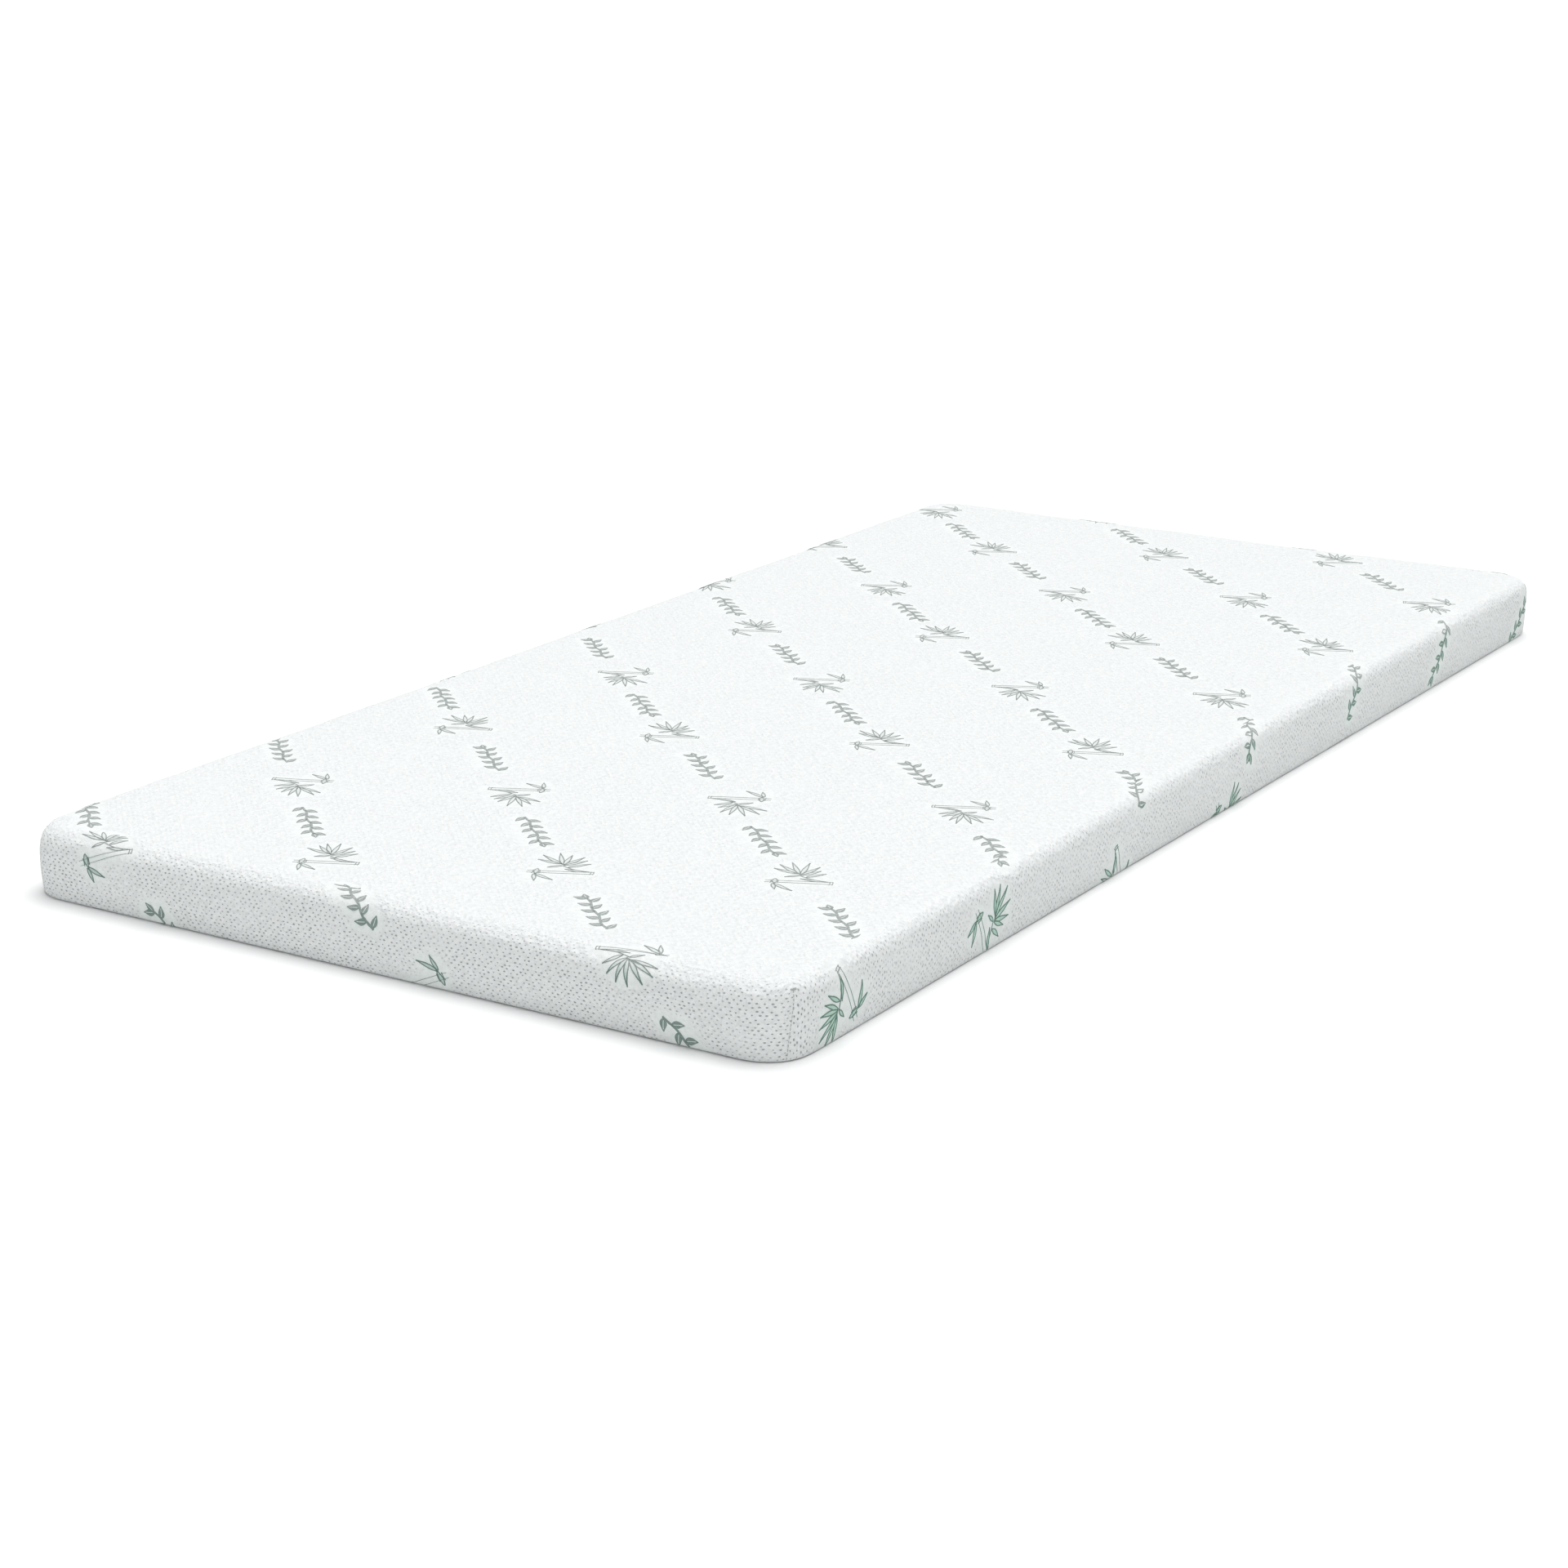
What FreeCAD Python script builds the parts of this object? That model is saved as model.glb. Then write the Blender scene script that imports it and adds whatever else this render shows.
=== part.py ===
import FreeCAD, Part
import math
import os

import Sketcher
from FreeCAD import Vector

# Single memory foam mattress lying flat, with a zipped knit cover over two bonded foam layers.
# Frame: X across the width, Y along the length with the zip at the +Y end, Z up.
# The origin is at the centre of the base, on the surface that the mattress lies on.

NODES = []

# alias, value in millimetres (or degrees, or a count), what it is
DIMENSIONS = [
    ("mattress_width", 920, "finished width"),
    ("mattress_length", 1880, "finished length"),
    ("mattress_height", 75, "finished height"),
    ("plan_radius", 47, "outer radius of the four corners seen from above"),
    ("top_radius", 23, "outer radius of the soft edge around the sleeping surface"),
    ("bottom_radius", 12, "outer radius of the edge around the base"),
    ("cover_skin", 2.5, "thickness of the padded knit"),
    ("wrap_under", 20, "how far the knit wraps under the base"),
    ("base_skin", 1.8, "thickness of the base panel"),
    ("sewing_gap", 0.3, "clearance between pieces that are sewn edge to edge"),
    ("binding_width", 14, "width of the tape over the base seam"),
    ("binding_thickness", 0.8, "thickness of the tape over the base seam"),
    ("core_gap", 0.3, "clearance between the cover and the liner"),
    ("core_bottom", 3.8, "height of the underside of the liner"),
    ("zip_room", 2, "how much the core is shortened behind the zip"),
    ("liner_skin", 1, "thickness of the knit liner"),
    ("foam_gap", 0.2, "clearance between the liner and the foam"),
    ("support_height", 36, "thickness of the support foam"),
    ("memory_height", 30, "thickness of the memory foam"),
    ("seam_thread_radius", 0.6, "radius of the thread of a corner seam"),
    ("seam_foot_angle", 60, "how far the corner seam turns under the base edge"),
    ("zip_height", 28, "height of the middle of the zip"),
    ("zip_window_length", 808, "length of the opening in the cover for the zip"),
    ("zip_window_height", 12, "height of the opening in the cover for the zip"),
    ("tape_length", 820, "length of a zip tape"),
    ("tape_width", 14, "width of a zip tape"),
    ("tape_thickness", 0.7, "thickness of a zip tape"),
    ("tape_half_gap", 0.8, "from the middle of the zip to the edge of a tape"),
    ("tooth_pitch", 4, "distance from one tooth to the next on one tape"),
    ("tooth_length", 1.7, "size of a tooth along the zip"),
    ("tooth_depth", 2.2, "size of a tooth out of the tape"),
    ("tooth_root", 1.1, "from the middle of the zip to the root of the teeth"),
    ("tooth_reach", 0.9, "how far a tooth passes the middle of the zip"),
    ("tooth_back", 2.4, "from the middle of the zip to the back of the teeth"),
    ("teeth_start", -396.5, "where the first tooth begins along X"),
    ("tooth_count", 196, "teeth on each tape"),
    ("stop_length", 3, "size of a stop along the zip"),
    ("stop_height", 2.9, "from the middle of the zip to the back of a stop"),
    ("top_stop_start", 397.5, "where the top stops begin along X"),
    ("bottom_stop_start", -401.5, "where the bottom stop begins along X"),
    ("stitch_length", 3.5, "visible length of one stitch"),
    ("stitch_pitch", 6, "distance from one stitch to the next"),
    ("stitch_count", 134, "stitches in each row"),
    ("stitch_size", 0.4, "thickness of the stitching thread"),
    ("stitch_offset", 8.5, "from the middle of the zip to a row of stitches"),
    ("slider_middle", 390, "where the middle of the closed slider is along X"),
    ("slider_length", 12, "slider size along the zip"),
    ("slider_height", 9.6, "slider size across the zip"),
    ("slider_corner", 1.8, "radius of the corners of the slider plates"),
    ("slider_outer_face", 0.8, "how far the outer plate stands proud of the cover"),
    ("slider_outer_thickness", 0.9, "thickness of the outer plate"),
    ("slider_inner_thickness", 0.7, "thickness of the inner plate"),
    ("slider_clearance", 0.2, "clearance between the tapes and the inner plate"),
    ("flange_height", 0.9, "width of the side flanges of the outer plate"),
    ("flange_drop", 2.1, "how far the side flanges reach in from the outer plate"),
    ("neck_length", 4, "size of the neck between the plates along the zip"),
    ("neck_start", 1, "from the middle of the slider to the neck"),
    ("neck_height", 1.2, "thickness of the neck"),
    ("bail_half_length", 3.4, "half the outer length of the bail"),
    ("bail_rise", 3, "how far the bail stands off the outer plate"),
    ("bail_bar", 0.8, "thickness of the bail's bar"),
    ("bail_width", 2.2, "width of the bail across the zip"),
    ("bail_round", 0.6, "radius of the bail's two outer shoulders"),
    ("pull_axis_out", 1.9, "distance of the pull's crossbar from the cover"),
    ("crossbar_radius", 0.8, "radius of the pull's crossbar"),
    ("pull_length", 28, "length of the pull"),
    ("pull_width", 7, "width of the pull"),
    ("pull_thickness", 1.2, "thickness of the pull"),
    ("pull_corner", 2.4, "radius of the corners of the pull"),
    ("pull_slot_width", 3.4, "width of the slot around the bail"),
    ("pull_slot_length", 4.6, "length of the slot around the bail"),
    ("pull_hole_radius", 1.3, "radius of the round hole near the free end of the pull"),
    ("pull_hole_inset", 4.2, "from the free end of the pull to the middle of its hole"),
    ("label_length", 50, "length of the care label"),
    ("label_height", 32, "height of the care label"),
    ("label_thickness", 0.4, "thickness of the care label"),
    ("label_foot", 17, "height of the lower edge of the care label"),
]

doc = FreeCAD.newDocument("memory_foam_mattress")
dims = doc.addObject("Spreadsheet::Sheet", "dims")
for row_number, (alias, value, note) in enumerate(DIMENSIONS, start=1):
    dims.set(f"A{row_number}", note)
    dims.set(f"B{row_number}", str(value))
    dims.setAlias(f"B{row_number}", alias)
doc.recompute()


def bind(item, **properties):
    """Bind properties to expressions; a double underscore stands for a dot."""
    for name, expression in properties.items():
        item.setExpression(name.replace("__", "."), expression)


def node(item, label):
    """Give a finished piece its label, which names its file."""
    item.Label = label
    NODES.append(item)
    return item


def origin_plane(body, role):
    return next(plane for plane in body.Origin.OriginFeatures if plane.Role == role)


def sketch_on(body, name, role):
    sketch = body.newObject("Sketcher::SketchObject", name)
    sketch.AttachmentSupport = [(origin_plane(body, role), "")]
    sketch.MapMode = "FlatFace"
    return sketch


def rounded_rectangle(sketch, width, height, radius):
    """Draw a rectangle with round corners about the sketch's origin; sizes are expressions."""
    half_width = sketch.evalExpression(width) / 2
    half_height = sketch.evalExpression(height) / 2
    corner = sketch.evalExpression(radius)
    right = half_width - corner
    top = half_height - corner
    lines = [
        ((-right, -half_height), (right, -half_height)),
        ((half_width, -top), (half_width, top)),
        ((right, half_height), (-right, half_height)),
        ((-half_width, top), (-half_width, -top)),
    ]
    for (x1, y1), (x2, y2) in lines:
        sketch.addGeometry(Part.LineSegment(Vector(x1, y1, 0), Vector(x2, y2, 0)))
    corners = [(right, -top, 270), (right, top, 0), (-right, top, 90), (-right, -top, 180)]
    for x, y, start in corners:
        circle = Part.Circle(Vector(x, y, 0), Vector(0, 0, 1), corner)
        arc = Part.ArcOfCircle(circle, math.radians(start), math.radians(start + 90))
        sketch.addGeometry(arc)
    start_point, end_point, centre_point = 1, 2, 3
    for side in range(4):
        arc = 4 + side
        following = (side + 1) % 4
        sketch.addConstraint(
            Sketcher.Constraint("Tangent", side, end_point, arc, start_point)
        )
        sketch.addConstraint(
            Sketcher.Constraint("Tangent", arc, end_point, following, start_point)
        )
    for level_side, upright_side in ((0, 1), (2, 3)):
        sketch.addConstraint(Sketcher.Constraint("Horizontal", level_side))
        sketch.addConstraint(Sketcher.Constraint("Vertical", upright_side))
    for arc in (5, 6, 7):
        sketch.addConstraint(Sketcher.Constraint("Equal", 4, arc))
    sketch.addConstraint(
        Sketcher.Constraint("Symmetric", 4, centre_point, 6, centre_point, -1, 1)
    )
    named = [
        ("span_x", Sketcher.Constraint("DistanceX", 3, 1, 1, 1, 2 * half_width), width),
        ("span_y", Sketcher.Constraint("DistanceY", 0, 1, 2, 1, 2 * half_height), height),
        ("corner", Sketcher.Constraint("Radius", 4, corner), radius),
    ]
    for name, constraint, expression in named:
        index = sketch.addConstraint(constraint)
        sketch.renameConstraint(index, name)
        sketch.setExpression(f"Constraints.{name}", expression)


def level_edges(shape, level):
    """Names of the edges of a shape that lie flat at one height."""
    names = []
    for number, edge in enumerate(shape.Edges, start=1):
        box = edge.BoundBox
        if abs(box.ZMin - level) < 1e-4 and abs(box.ZMax - level) < 1e-4:
            names.append(f"Edge{number}")
    return names


def slab(name, width, length, corner, bottom, height, top_edge=None, bottom_edge=None):
    """A flat body with round plan corners, and a fillet around its top or base if given."""
    body = doc.addObject("PartDesign::Body", name)
    sketch = sketch_on(body, f"{name}_plan", "XY_Plane")
    rounded_rectangle(sketch, width, length, corner)
    bind(sketch, AttachmentOffset__Base__z=bottom)
    pad = body.newObject("PartDesign::Pad", f"{name}_pad")
    pad.Profile = sketch
    bind(pad, Length=height)
    doc.recompute()
    box = pad.Shape.BoundBox
    base = pad
    for tag, radius, level in (("top", top_edge, box.ZMax), ("base", bottom_edge, box.ZMin)):
        if radius is None:
            continue
        fillet = body.newObject("PartDesign::Fillet", f"{name}_{tag}_edge")
        fillet.Base = (base, level_edges(base.Shape, level))
        bind(fillet, Radius=radius)
        doc.recompute()
        base = fillet
    return body


def block(name, x, y, z, length, depth, height):
    """A box from its low corner; every argument is an expression."""
    box = doc.addObject("Part::Box", name)
    bind(box, Length=length, Width=depth, Height=height)
    bind(box, Placement__Base__x=x, Placement__Base__y=y, Placement__Base__z=z)
    return box


def cut(name, base, tool):
    result = doc.addObject("Part::Cut", name)
    result.Base = base
    result.Tool = tool
    return result


def fuse(name, pieces):
    result = doc.addObject("Part::MultiFuse", name)
    result.Shapes = pieces
    return result


# Shared expressions. The zip lies in the flat wall at the +Y end, whose outer face is WALL.
WALL = "dims.mattress_length / 2"
COVER_INSIDE = f"({WALL} - dims.cover_skin)"
TAPE_INSIDE = f"({COVER_INSIDE} - dims.tape_thickness)"
PLATE_FACE = f"({WALL} + dims.slider_outer_face)"
INNER_PLATE_FACE = f"({TAPE_INSIDE} - dims.slider_clearance)"
CORE_LENGTH = "(dims.mattress_length - 2 * (dims.cover_skin + dims.core_gap) - dims.zip_room)"
CORE_WIDTH = "(dims.mattress_width - 2 * (dims.cover_skin + dims.core_gap))"
CORE_SHIFT = "-dims.zip_room / 2"
LINER_INSET = "(dims.cover_skin + dims.core_gap)"
FOAM_INSET = "(dims.cover_skin + dims.core_gap + dims.liner_skin + dims.foam_gap)"


# The cover: one knit piece over the top, the sides and the rim of the base.
def make_cover():
    outside = slab(
        "cover_outside",
        "dims.mattress_width",
        "dims.mattress_length",
        "dims.plan_radius",
        "0",
        "dims.mattress_height",
        top_edge="dims.top_radius",
        bottom_edge="dims.bottom_radius",
    )
    inside = slab(
        "cover_inside",
        "dims.mattress_width - 2 * dims.cover_skin",
        "dims.mattress_length - 2 * dims.cover_skin",
        "dims.plan_radius - dims.cover_skin",
        "dims.cover_skin",
        "dims.mattress_height - 2 * dims.cover_skin",
        top_edge="dims.top_radius - dims.cover_skin",
        bottom_edge="dims.bottom_radius - dims.cover_skin",
    )
    base_window = slab(
        "base_window",
        "dims.mattress_width - 2 * dims.wrap_under",
        "dims.mattress_length - 2 * dims.wrap_under",
        "dims.plan_radius - dims.wrap_under",
        "-dims.cover_skin",
        "3 * dims.cover_skin",
    )
    zip_window = block(
        "zip_window",
        "-dims.zip_window_length / 2",
        f"{WALL} - 2 * dims.cover_skin",
        "dims.zip_height - dims.zip_window_height / 2",
        "dims.zip_window_length",
        "3 * dims.cover_skin",
        "dims.zip_window_height",
    )
    shell = cut("cover_shell", outside, inside)
    open_shell = cut("cover_open_shell", shell, base_window)
    node(cut("cover_knit", open_shell, zip_window), "cover_top")


def make_base_panel():
    panel = slab(
        "base_panel",
        "dims.mattress_width - 2 * (dims.wrap_under + dims.sewing_gap)",
        "dims.mattress_length - 2 * (dims.wrap_under + dims.sewing_gap)",
        "dims.plan_radius - dims.wrap_under - dims.sewing_gap",
        "0",
        "dims.base_skin",
    )
    node(panel, "cover_bottom")


def make_seam_binding():
    """A flat ring of tape lying inside the cover, over the seam around the base panel."""
    low = "dims.cover_skin"
    outer_inset = "(dims.wrap_under - dims.binding_width / 2)"
    inner_inset = "(dims.wrap_under + dims.binding_width / 2)"
    outer = slab(
        "binding_outside",
        f"dims.mattress_width - 2 * {outer_inset}",
        f"dims.mattress_length - 2 * {outer_inset}",
        f"dims.plan_radius - {outer_inset}",
        low,
        "dims.binding_thickness",
    )
    inner = slab(
        "binding_inside",
        f"dims.mattress_width - 2 * {inner_inset}",
        f"dims.mattress_length - 2 * {inner_inset}",
        f"dims.plan_radius - {inner_inset}",
        "0",
        "dims.mattress_height / 2",
    )
    node(cut("binding_ring", outer, inner), "bottom_seam_binding")


# The core: a knit liner around two foam layers glued face to face.
def make_liner():
    outside = slab(
        "liner_outside",
        CORE_WIDTH,
        CORE_LENGTH,
        f"dims.plan_radius - {LINER_INSET}",
        "dims.core_bottom",
        f"dims.mattress_height - {LINER_INSET} - dims.core_bottom",
        top_edge=f"dims.top_radius - {LINER_INSET}",
        bottom_edge=f"dims.bottom_radius - {LINER_INSET}",
    )
    inside = slab(
        "liner_inside",
        f"{CORE_WIDTH} - 2 * dims.liner_skin",
        f"{CORE_LENGTH} - 2 * dims.liner_skin",
        f"dims.plan_radius - {LINER_INSET} - dims.liner_skin",
        "dims.core_bottom + dims.liner_skin",
        f"dims.mattress_height - {LINER_INSET} - dims.core_bottom - 2 * dims.liner_skin",
        top_edge=f"dims.top_radius - {LINER_INSET} - dims.liner_skin",
        bottom_edge=f"dims.bottom_radius - {LINER_INSET} - dims.liner_skin",
    )
    for body in (outside, inside):
        bind(body, Placement__Base__y=CORE_SHIFT)
    node(cut("liner_sock", outside, inside), "inner_liner")


def make_foam():
    width = f"dims.mattress_width - 2 * {FOAM_INSET}"
    length = f"{CORE_LENGTH} - 2 * (dims.liner_skin + dims.foam_gap)"
    corner = f"dims.plan_radius - {FOAM_INSET}"
    foam_bottom = "dims.core_bottom + dims.liner_skin + dims.foam_gap"
    support = slab(
        "support_foam",
        width,
        length,
        corner,
        foam_bottom,
        "dims.support_height",
        bottom_edge=f"dims.bottom_radius - {FOAM_INSET}",
    )
    memory = slab(
        "memory_foam",
        width,
        length,
        corner,
        f"{foam_bottom} + dims.support_height",
        "dims.memory_height",
        top_edge=f"dims.top_radius - {FOAM_INSET}",
    )
    for body in (support, memory):
        bind(body, Placement__Base__y=CORE_SHIFT)
    node(support, "support_foam_layer")
    node(memory, "memory_foam_layer")


# Corner seams: a thread down the outside of each corner, from the top edge to the base edge.
def seam_path(sketch):
    """The line of the thread: an arc over the top edge, a straight drop and an arc under."""
    thread = dims.seam_thread_radius
    reach = dims.plan_radius + thread
    top_level = dims.mattress_height - dims.top_radius
    top_centre = Vector(dims.plan_radius - dims.top_radius, top_level, 0)
    low_centre = Vector(dims.plan_radius - dims.bottom_radius, dims.bottom_radius, 0)
    normal = Vector(0, 0, 1)
    top_circle = Part.Circle(top_centre, normal, dims.top_radius + thread)
    low_circle = Part.Circle(low_centre, normal, dims.bottom_radius + thread)
    sketch.addGeometry(Part.ArcOfCircle(top_circle, 0, math.pi / 2))
    sketch.addGeometry(
        Part.LineSegment(Vector(reach, top_level, 0), Vector(reach, low_centre.y, 0))
    )
    foot = math.radians(dims.seam_foot_angle)
    sketch.addGeometry(Part.ArcOfCircle(low_circle, -foot, 0))
    sketch.addConstraint(Sketcher.Constraint("Tangent", 0, 1, 1, 1))
    sketch.addConstraint(Sketcher.Constraint("Tangent", 1, 2, 2, 2))
    sketch.addConstraint(Sketcher.Constraint("Vertical", 1))
    drawn = [
        ("top_turn", "Radius", (0,), top_circle.Radius, "dims.top_radius + dims.seam_thread_radius"),
        ("low_turn", "Radius", (2,), low_circle.Radius, "dims.bottom_radius + dims.seam_thread_radius"),
        ("axis_in", "DistanceX", (-1, 1, 0, 3), top_centre.x, "dims.plan_radius - dims.top_radius"),
        ("axis_up", "DistanceY", (-1, 1, 0, 3), top_centre.y, "dims.mattress_height - dims.top_radius"),
        ("low_up", "DistanceY", (-1, 1, 2, 3), low_centre.y, "dims.bottom_radius"),
    ]
    for name, kind, where, size, expression in drawn:
        index = sketch.addConstraint(Sketcher.Constraint(kind, *where, size))
        sketch.renameConstraint(index, name)
        sketch.setExpression(f"Constraints.{name}", expression)
    sketch.addConstraint(Sketcher.Constraint("Vertical", 0, 3, 0, 2))
    index = sketch.addConstraint(Sketcher.Constraint("Angle", 2, foot))
    sketch.renameConstraint(index, "foot_turn")
    sketch.setExpression("Constraints.foot_turn", "dims.seam_foot_angle * 1 deg")


def make_corner_seam(label, side, end, turn):
    """One seam; side and end are the signs of the corner, turn is its direction in degrees."""
    body = doc.addObject("PartDesign::Body", f"{label}_body")
    path = sketch_on(body, f"{label}_path", "XZ_Plane")
    seam_path(path)
    section = sketch_on(body, f"{label}_section", "YZ_Plane")
    level = dims.mattress_height + dims.seam_thread_radius
    radius = dims.seam_thread_radius
    section.addGeometry(Part.Circle(Vector(0, level, 0), Vector(0, 0, 1), radius))
    section.addConstraint(Sketcher.Constraint("PointOnObject", 0, 3, -2))
    centre = section.addConstraint(Sketcher.Constraint("DistanceY", -1, 1, 0, 3, level))
    size = section.addConstraint(Sketcher.Constraint("Radius", 0, radius))
    section.setExpression(
        f"Constraints[{centre}]", "dims.mattress_height + dims.seam_thread_radius"
    )
    section.setExpression(f"Constraints[{size}]", "dims.seam_thread_radius")
    bind(section, AttachmentOffset__Base__z="dims.plan_radius - dims.top_radius")
    doc.recompute()
    sweep = body.newObject("PartDesign::AdditivePipe", f"{label}_thread")
    sweep.Profile = section
    sweep.Spine = (path, ["Edge1", "Edge2", "Edge3"])
    body.Placement = FreeCAD.Placement(Vector(0, 0, 0), FreeCAD.Rotation(Vector(0, 0, 1), turn))
    bind(
        body,
        Placement__Base__x=f"{side} * (dims.mattress_width / 2 - dims.plan_radius)",
        Placement__Base__y=f"{end} * (dims.mattress_length / 2 - dims.plan_radius)",
    )
    node(body, label)


# The zip in the +Y end: two tapes, two rows of teeth, stops, stitching, slider and pull.
def make_zip_tapes():
    length = "dims.tape_length"
    low_x = "-dims.tape_length / 2"
    upper = block(
        "tape_upper",
        low_x,
        TAPE_INSIDE,
        "dims.zip_height + dims.tape_half_gap",
        length,
        "dims.tape_thickness",
        "dims.tape_width",
    )
    lower = block(
        "tape_lower",
        low_x,
        TAPE_INSIDE,
        "dims.zip_height - dims.tape_half_gap - dims.tape_width",
        length,
        "dims.tape_thickness",
        "dims.tape_width",
    )
    node(upper, "zip_tape_upper")
    node(lower, "zip_tape_lower")


def make_teeth(label, sign, first):
    """A comb: a back strip along the tape with teeth that reach past the middle of the zip."""
    back = dims.zip_height + sign * dims.tooth_back
    root = dims.zip_height + sign * dims.tooth_root
    tip = dims.zip_height - sign * dims.tooth_reach
    low_y = dims.mattress_length / 2 - dims.cover_skin
    points = [Vector(dims.teeth_start, low_y, back)]
    for number in range(int(dims.tooth_count)):
        left = dims.teeth_start + first + number * dims.tooth_pitch
        right = left + dims.tooth_length
        points.append(Vector(left, low_y, root))
        points.append(Vector(left, low_y, tip))
        points.append(Vector(right, low_y, tip))
        points.append(Vector(right, low_y, root))
    if first > 0:
        points.insert(1, Vector(dims.teeth_start, low_y, root))
    points.append(Vector(points[-1].x, low_y, back))
    outline = Part.Face(Part.makePolygon(points + points[:1]))
    item = doc.addObject("Part::Feature", f"teeth_{label}")
    item.Shape = outline.extrude(Vector(0, dims.tooth_depth, 0))
    node(item, f"zip_teeth_{label}")


def make_stops():
    depth = "dims.tooth_depth"
    height = "dims.stop_height - dims.tape_half_gap"
    upper = block(
        "top_stop_upper",
        "dims.top_stop_start",
        COVER_INSIDE,
        "dims.zip_height + dims.tape_half_gap",
        "dims.stop_length",
        depth,
        height,
    )
    lower = block(
        "top_stop_lower",
        "dims.top_stop_start",
        COVER_INSIDE,
        "dims.zip_height - dims.stop_height",
        "dims.stop_length",
        depth,
        height,
    )
    pair = doc.addObject("Part::Compound", "top_stop_pair")
    pair.Links = [upper, lower]
    node(pair, "zip_top_stops")
    bottom = block(
        "bottom_stop",
        "dims.bottom_stop_start",
        COVER_INSIDE,
        "dims.zip_height - dims.stop_height",
        "dims.stop_length",
        depth,
        "2 * dims.stop_height",
    )
    node(bottom, "zip_bottom_stop")


def make_stitch_row(label, sign):
    """A row of separate stitches lying on the outer face of the cover beside the zip."""
    wall = dims.mattress_length / 2
    level = dims.zip_height + sign * dims.stitch_offset - dims.stitch_size / 2
    run = (dims.stitch_count - 1) * dims.stitch_pitch + dims.stitch_length
    stitches = []
    for number in range(int(dims.stitch_count)):
        start = -run / 2 + number * dims.stitch_pitch
        corner = Vector(start, wall, level)
        stitches.append(
            Part.makeBox(dims.stitch_length, dims.stitch_size, dims.stitch_size, corner)
        )
    item = doc.addObject("Part::Feature", f"stitches_{label}")
    item.Shape = Part.makeCompound(stitches)
    node(item, f"zip_stitching_{label}")


def slider_plate(name, face, thickness):
    """A plate of the slider, padded inwards from its outer face."""
    body = doc.addObject("PartDesign::Body", name)
    sketch = sketch_on(body, f"{name}_outline", "XZ_Plane")
    rounded_rectangle(sketch, "dims.slider_length", "dims.slider_height", "dims.slider_corner")
    bind(
        sketch,
        AttachmentOffset__Base__x="dims.slider_middle",
        AttachmentOffset__Base__y="dims.zip_height",
        AttachmentOffset__Base__z=f"-{face}",
    )
    pad = body.newObject("PartDesign::Pad", f"{name}_pad")
    pad.Profile = sketch
    bind(pad, Length=thickness)
    return body


def make_slider():
    outer = slider_plate("slider_outer", PLATE_FACE, "dims.slider_outer_thickness")
    inner = slider_plate("slider_inner", INNER_PLATE_FACE, "dims.slider_inner_thickness")
    flange_x = "dims.slider_middle - dims.slider_length / 2 + dims.slider_corner"
    flange_y = f"{PLATE_FACE} - dims.slider_outer_thickness - dims.flange_drop"
    flange_length = "dims.slider_length - 2 * dims.slider_corner"
    flange_depth = "dims.flange_drop + dims.slider_outer_thickness / 2"
    flanges = []
    for name, low_z in (
        ("flange_upper", "dims.zip_height + dims.slider_height / 2 - dims.flange_height"),
        ("flange_lower", "dims.zip_height - dims.slider_height / 2"),
    ):
        flanges.append(
            block(name, flange_x, flange_y, low_z, flange_length, flange_depth, "dims.flange_height")
        )
    neck = block(
        "slider_neck",
        "dims.slider_middle + dims.neck_start",
        f"{INNER_PLATE_FACE} - dims.slider_inner_thickness / 2",
        "dims.zip_height - dims.neck_height / 2",
        "dims.neck_length",
        f"{PLATE_FACE} - {INNER_PLATE_FACE}",
        "dims.neck_height",
    )
    node(fuse("slider_casting", [outer, inner, neck] + flanges), "zip_slider_body")


def make_bail():
    """The arch on the outer plate that the pull hangs in."""
    low_z = "dims.zip_height - dims.bail_width / 2"
    outer = block(
        "bail_outside",
        "dims.slider_middle - dims.bail_half_length",
        PLATE_FACE,
        low_z,
        "2 * dims.bail_half_length",
        "dims.bail_rise",
        "dims.bail_width",
    )
    inner = block(
        "bail_inside",
        "dims.slider_middle - dims.bail_half_length + dims.bail_bar",
        f"{PLATE_FACE} - dims.bail_bar",
        f"{low_z} - 1",
        "2 * (dims.bail_half_length - dims.bail_bar)",
        "dims.bail_rise",
        "dims.bail_width + 2",
    )
    arch = cut("bail_arch", outer, inner)
    doc.recompute()
    face = dims.mattress_length / 2 + dims.slider_outer_face + dims.bail_rise
    reach = dims.bail_half_length
    shoulders = []
    for number, edge in enumerate(arch.Shape.Edges, start=1):
        middle = edge.BoundBox.Center
        on_face = abs(middle.y - face) < 1e-4
        at_end = abs(abs(middle.x - dims.slider_middle) - reach) < 1e-4
        if on_face and at_end:
            shoulders.append((number, dims.bail_round, dims.bail_round))
    rounded = doc.addObject("Part::Fillet", "bail_rounded")
    rounded.Base = arch
    rounded.Edges = shoulders
    node(rounded, "zip_slider_bail")


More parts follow.
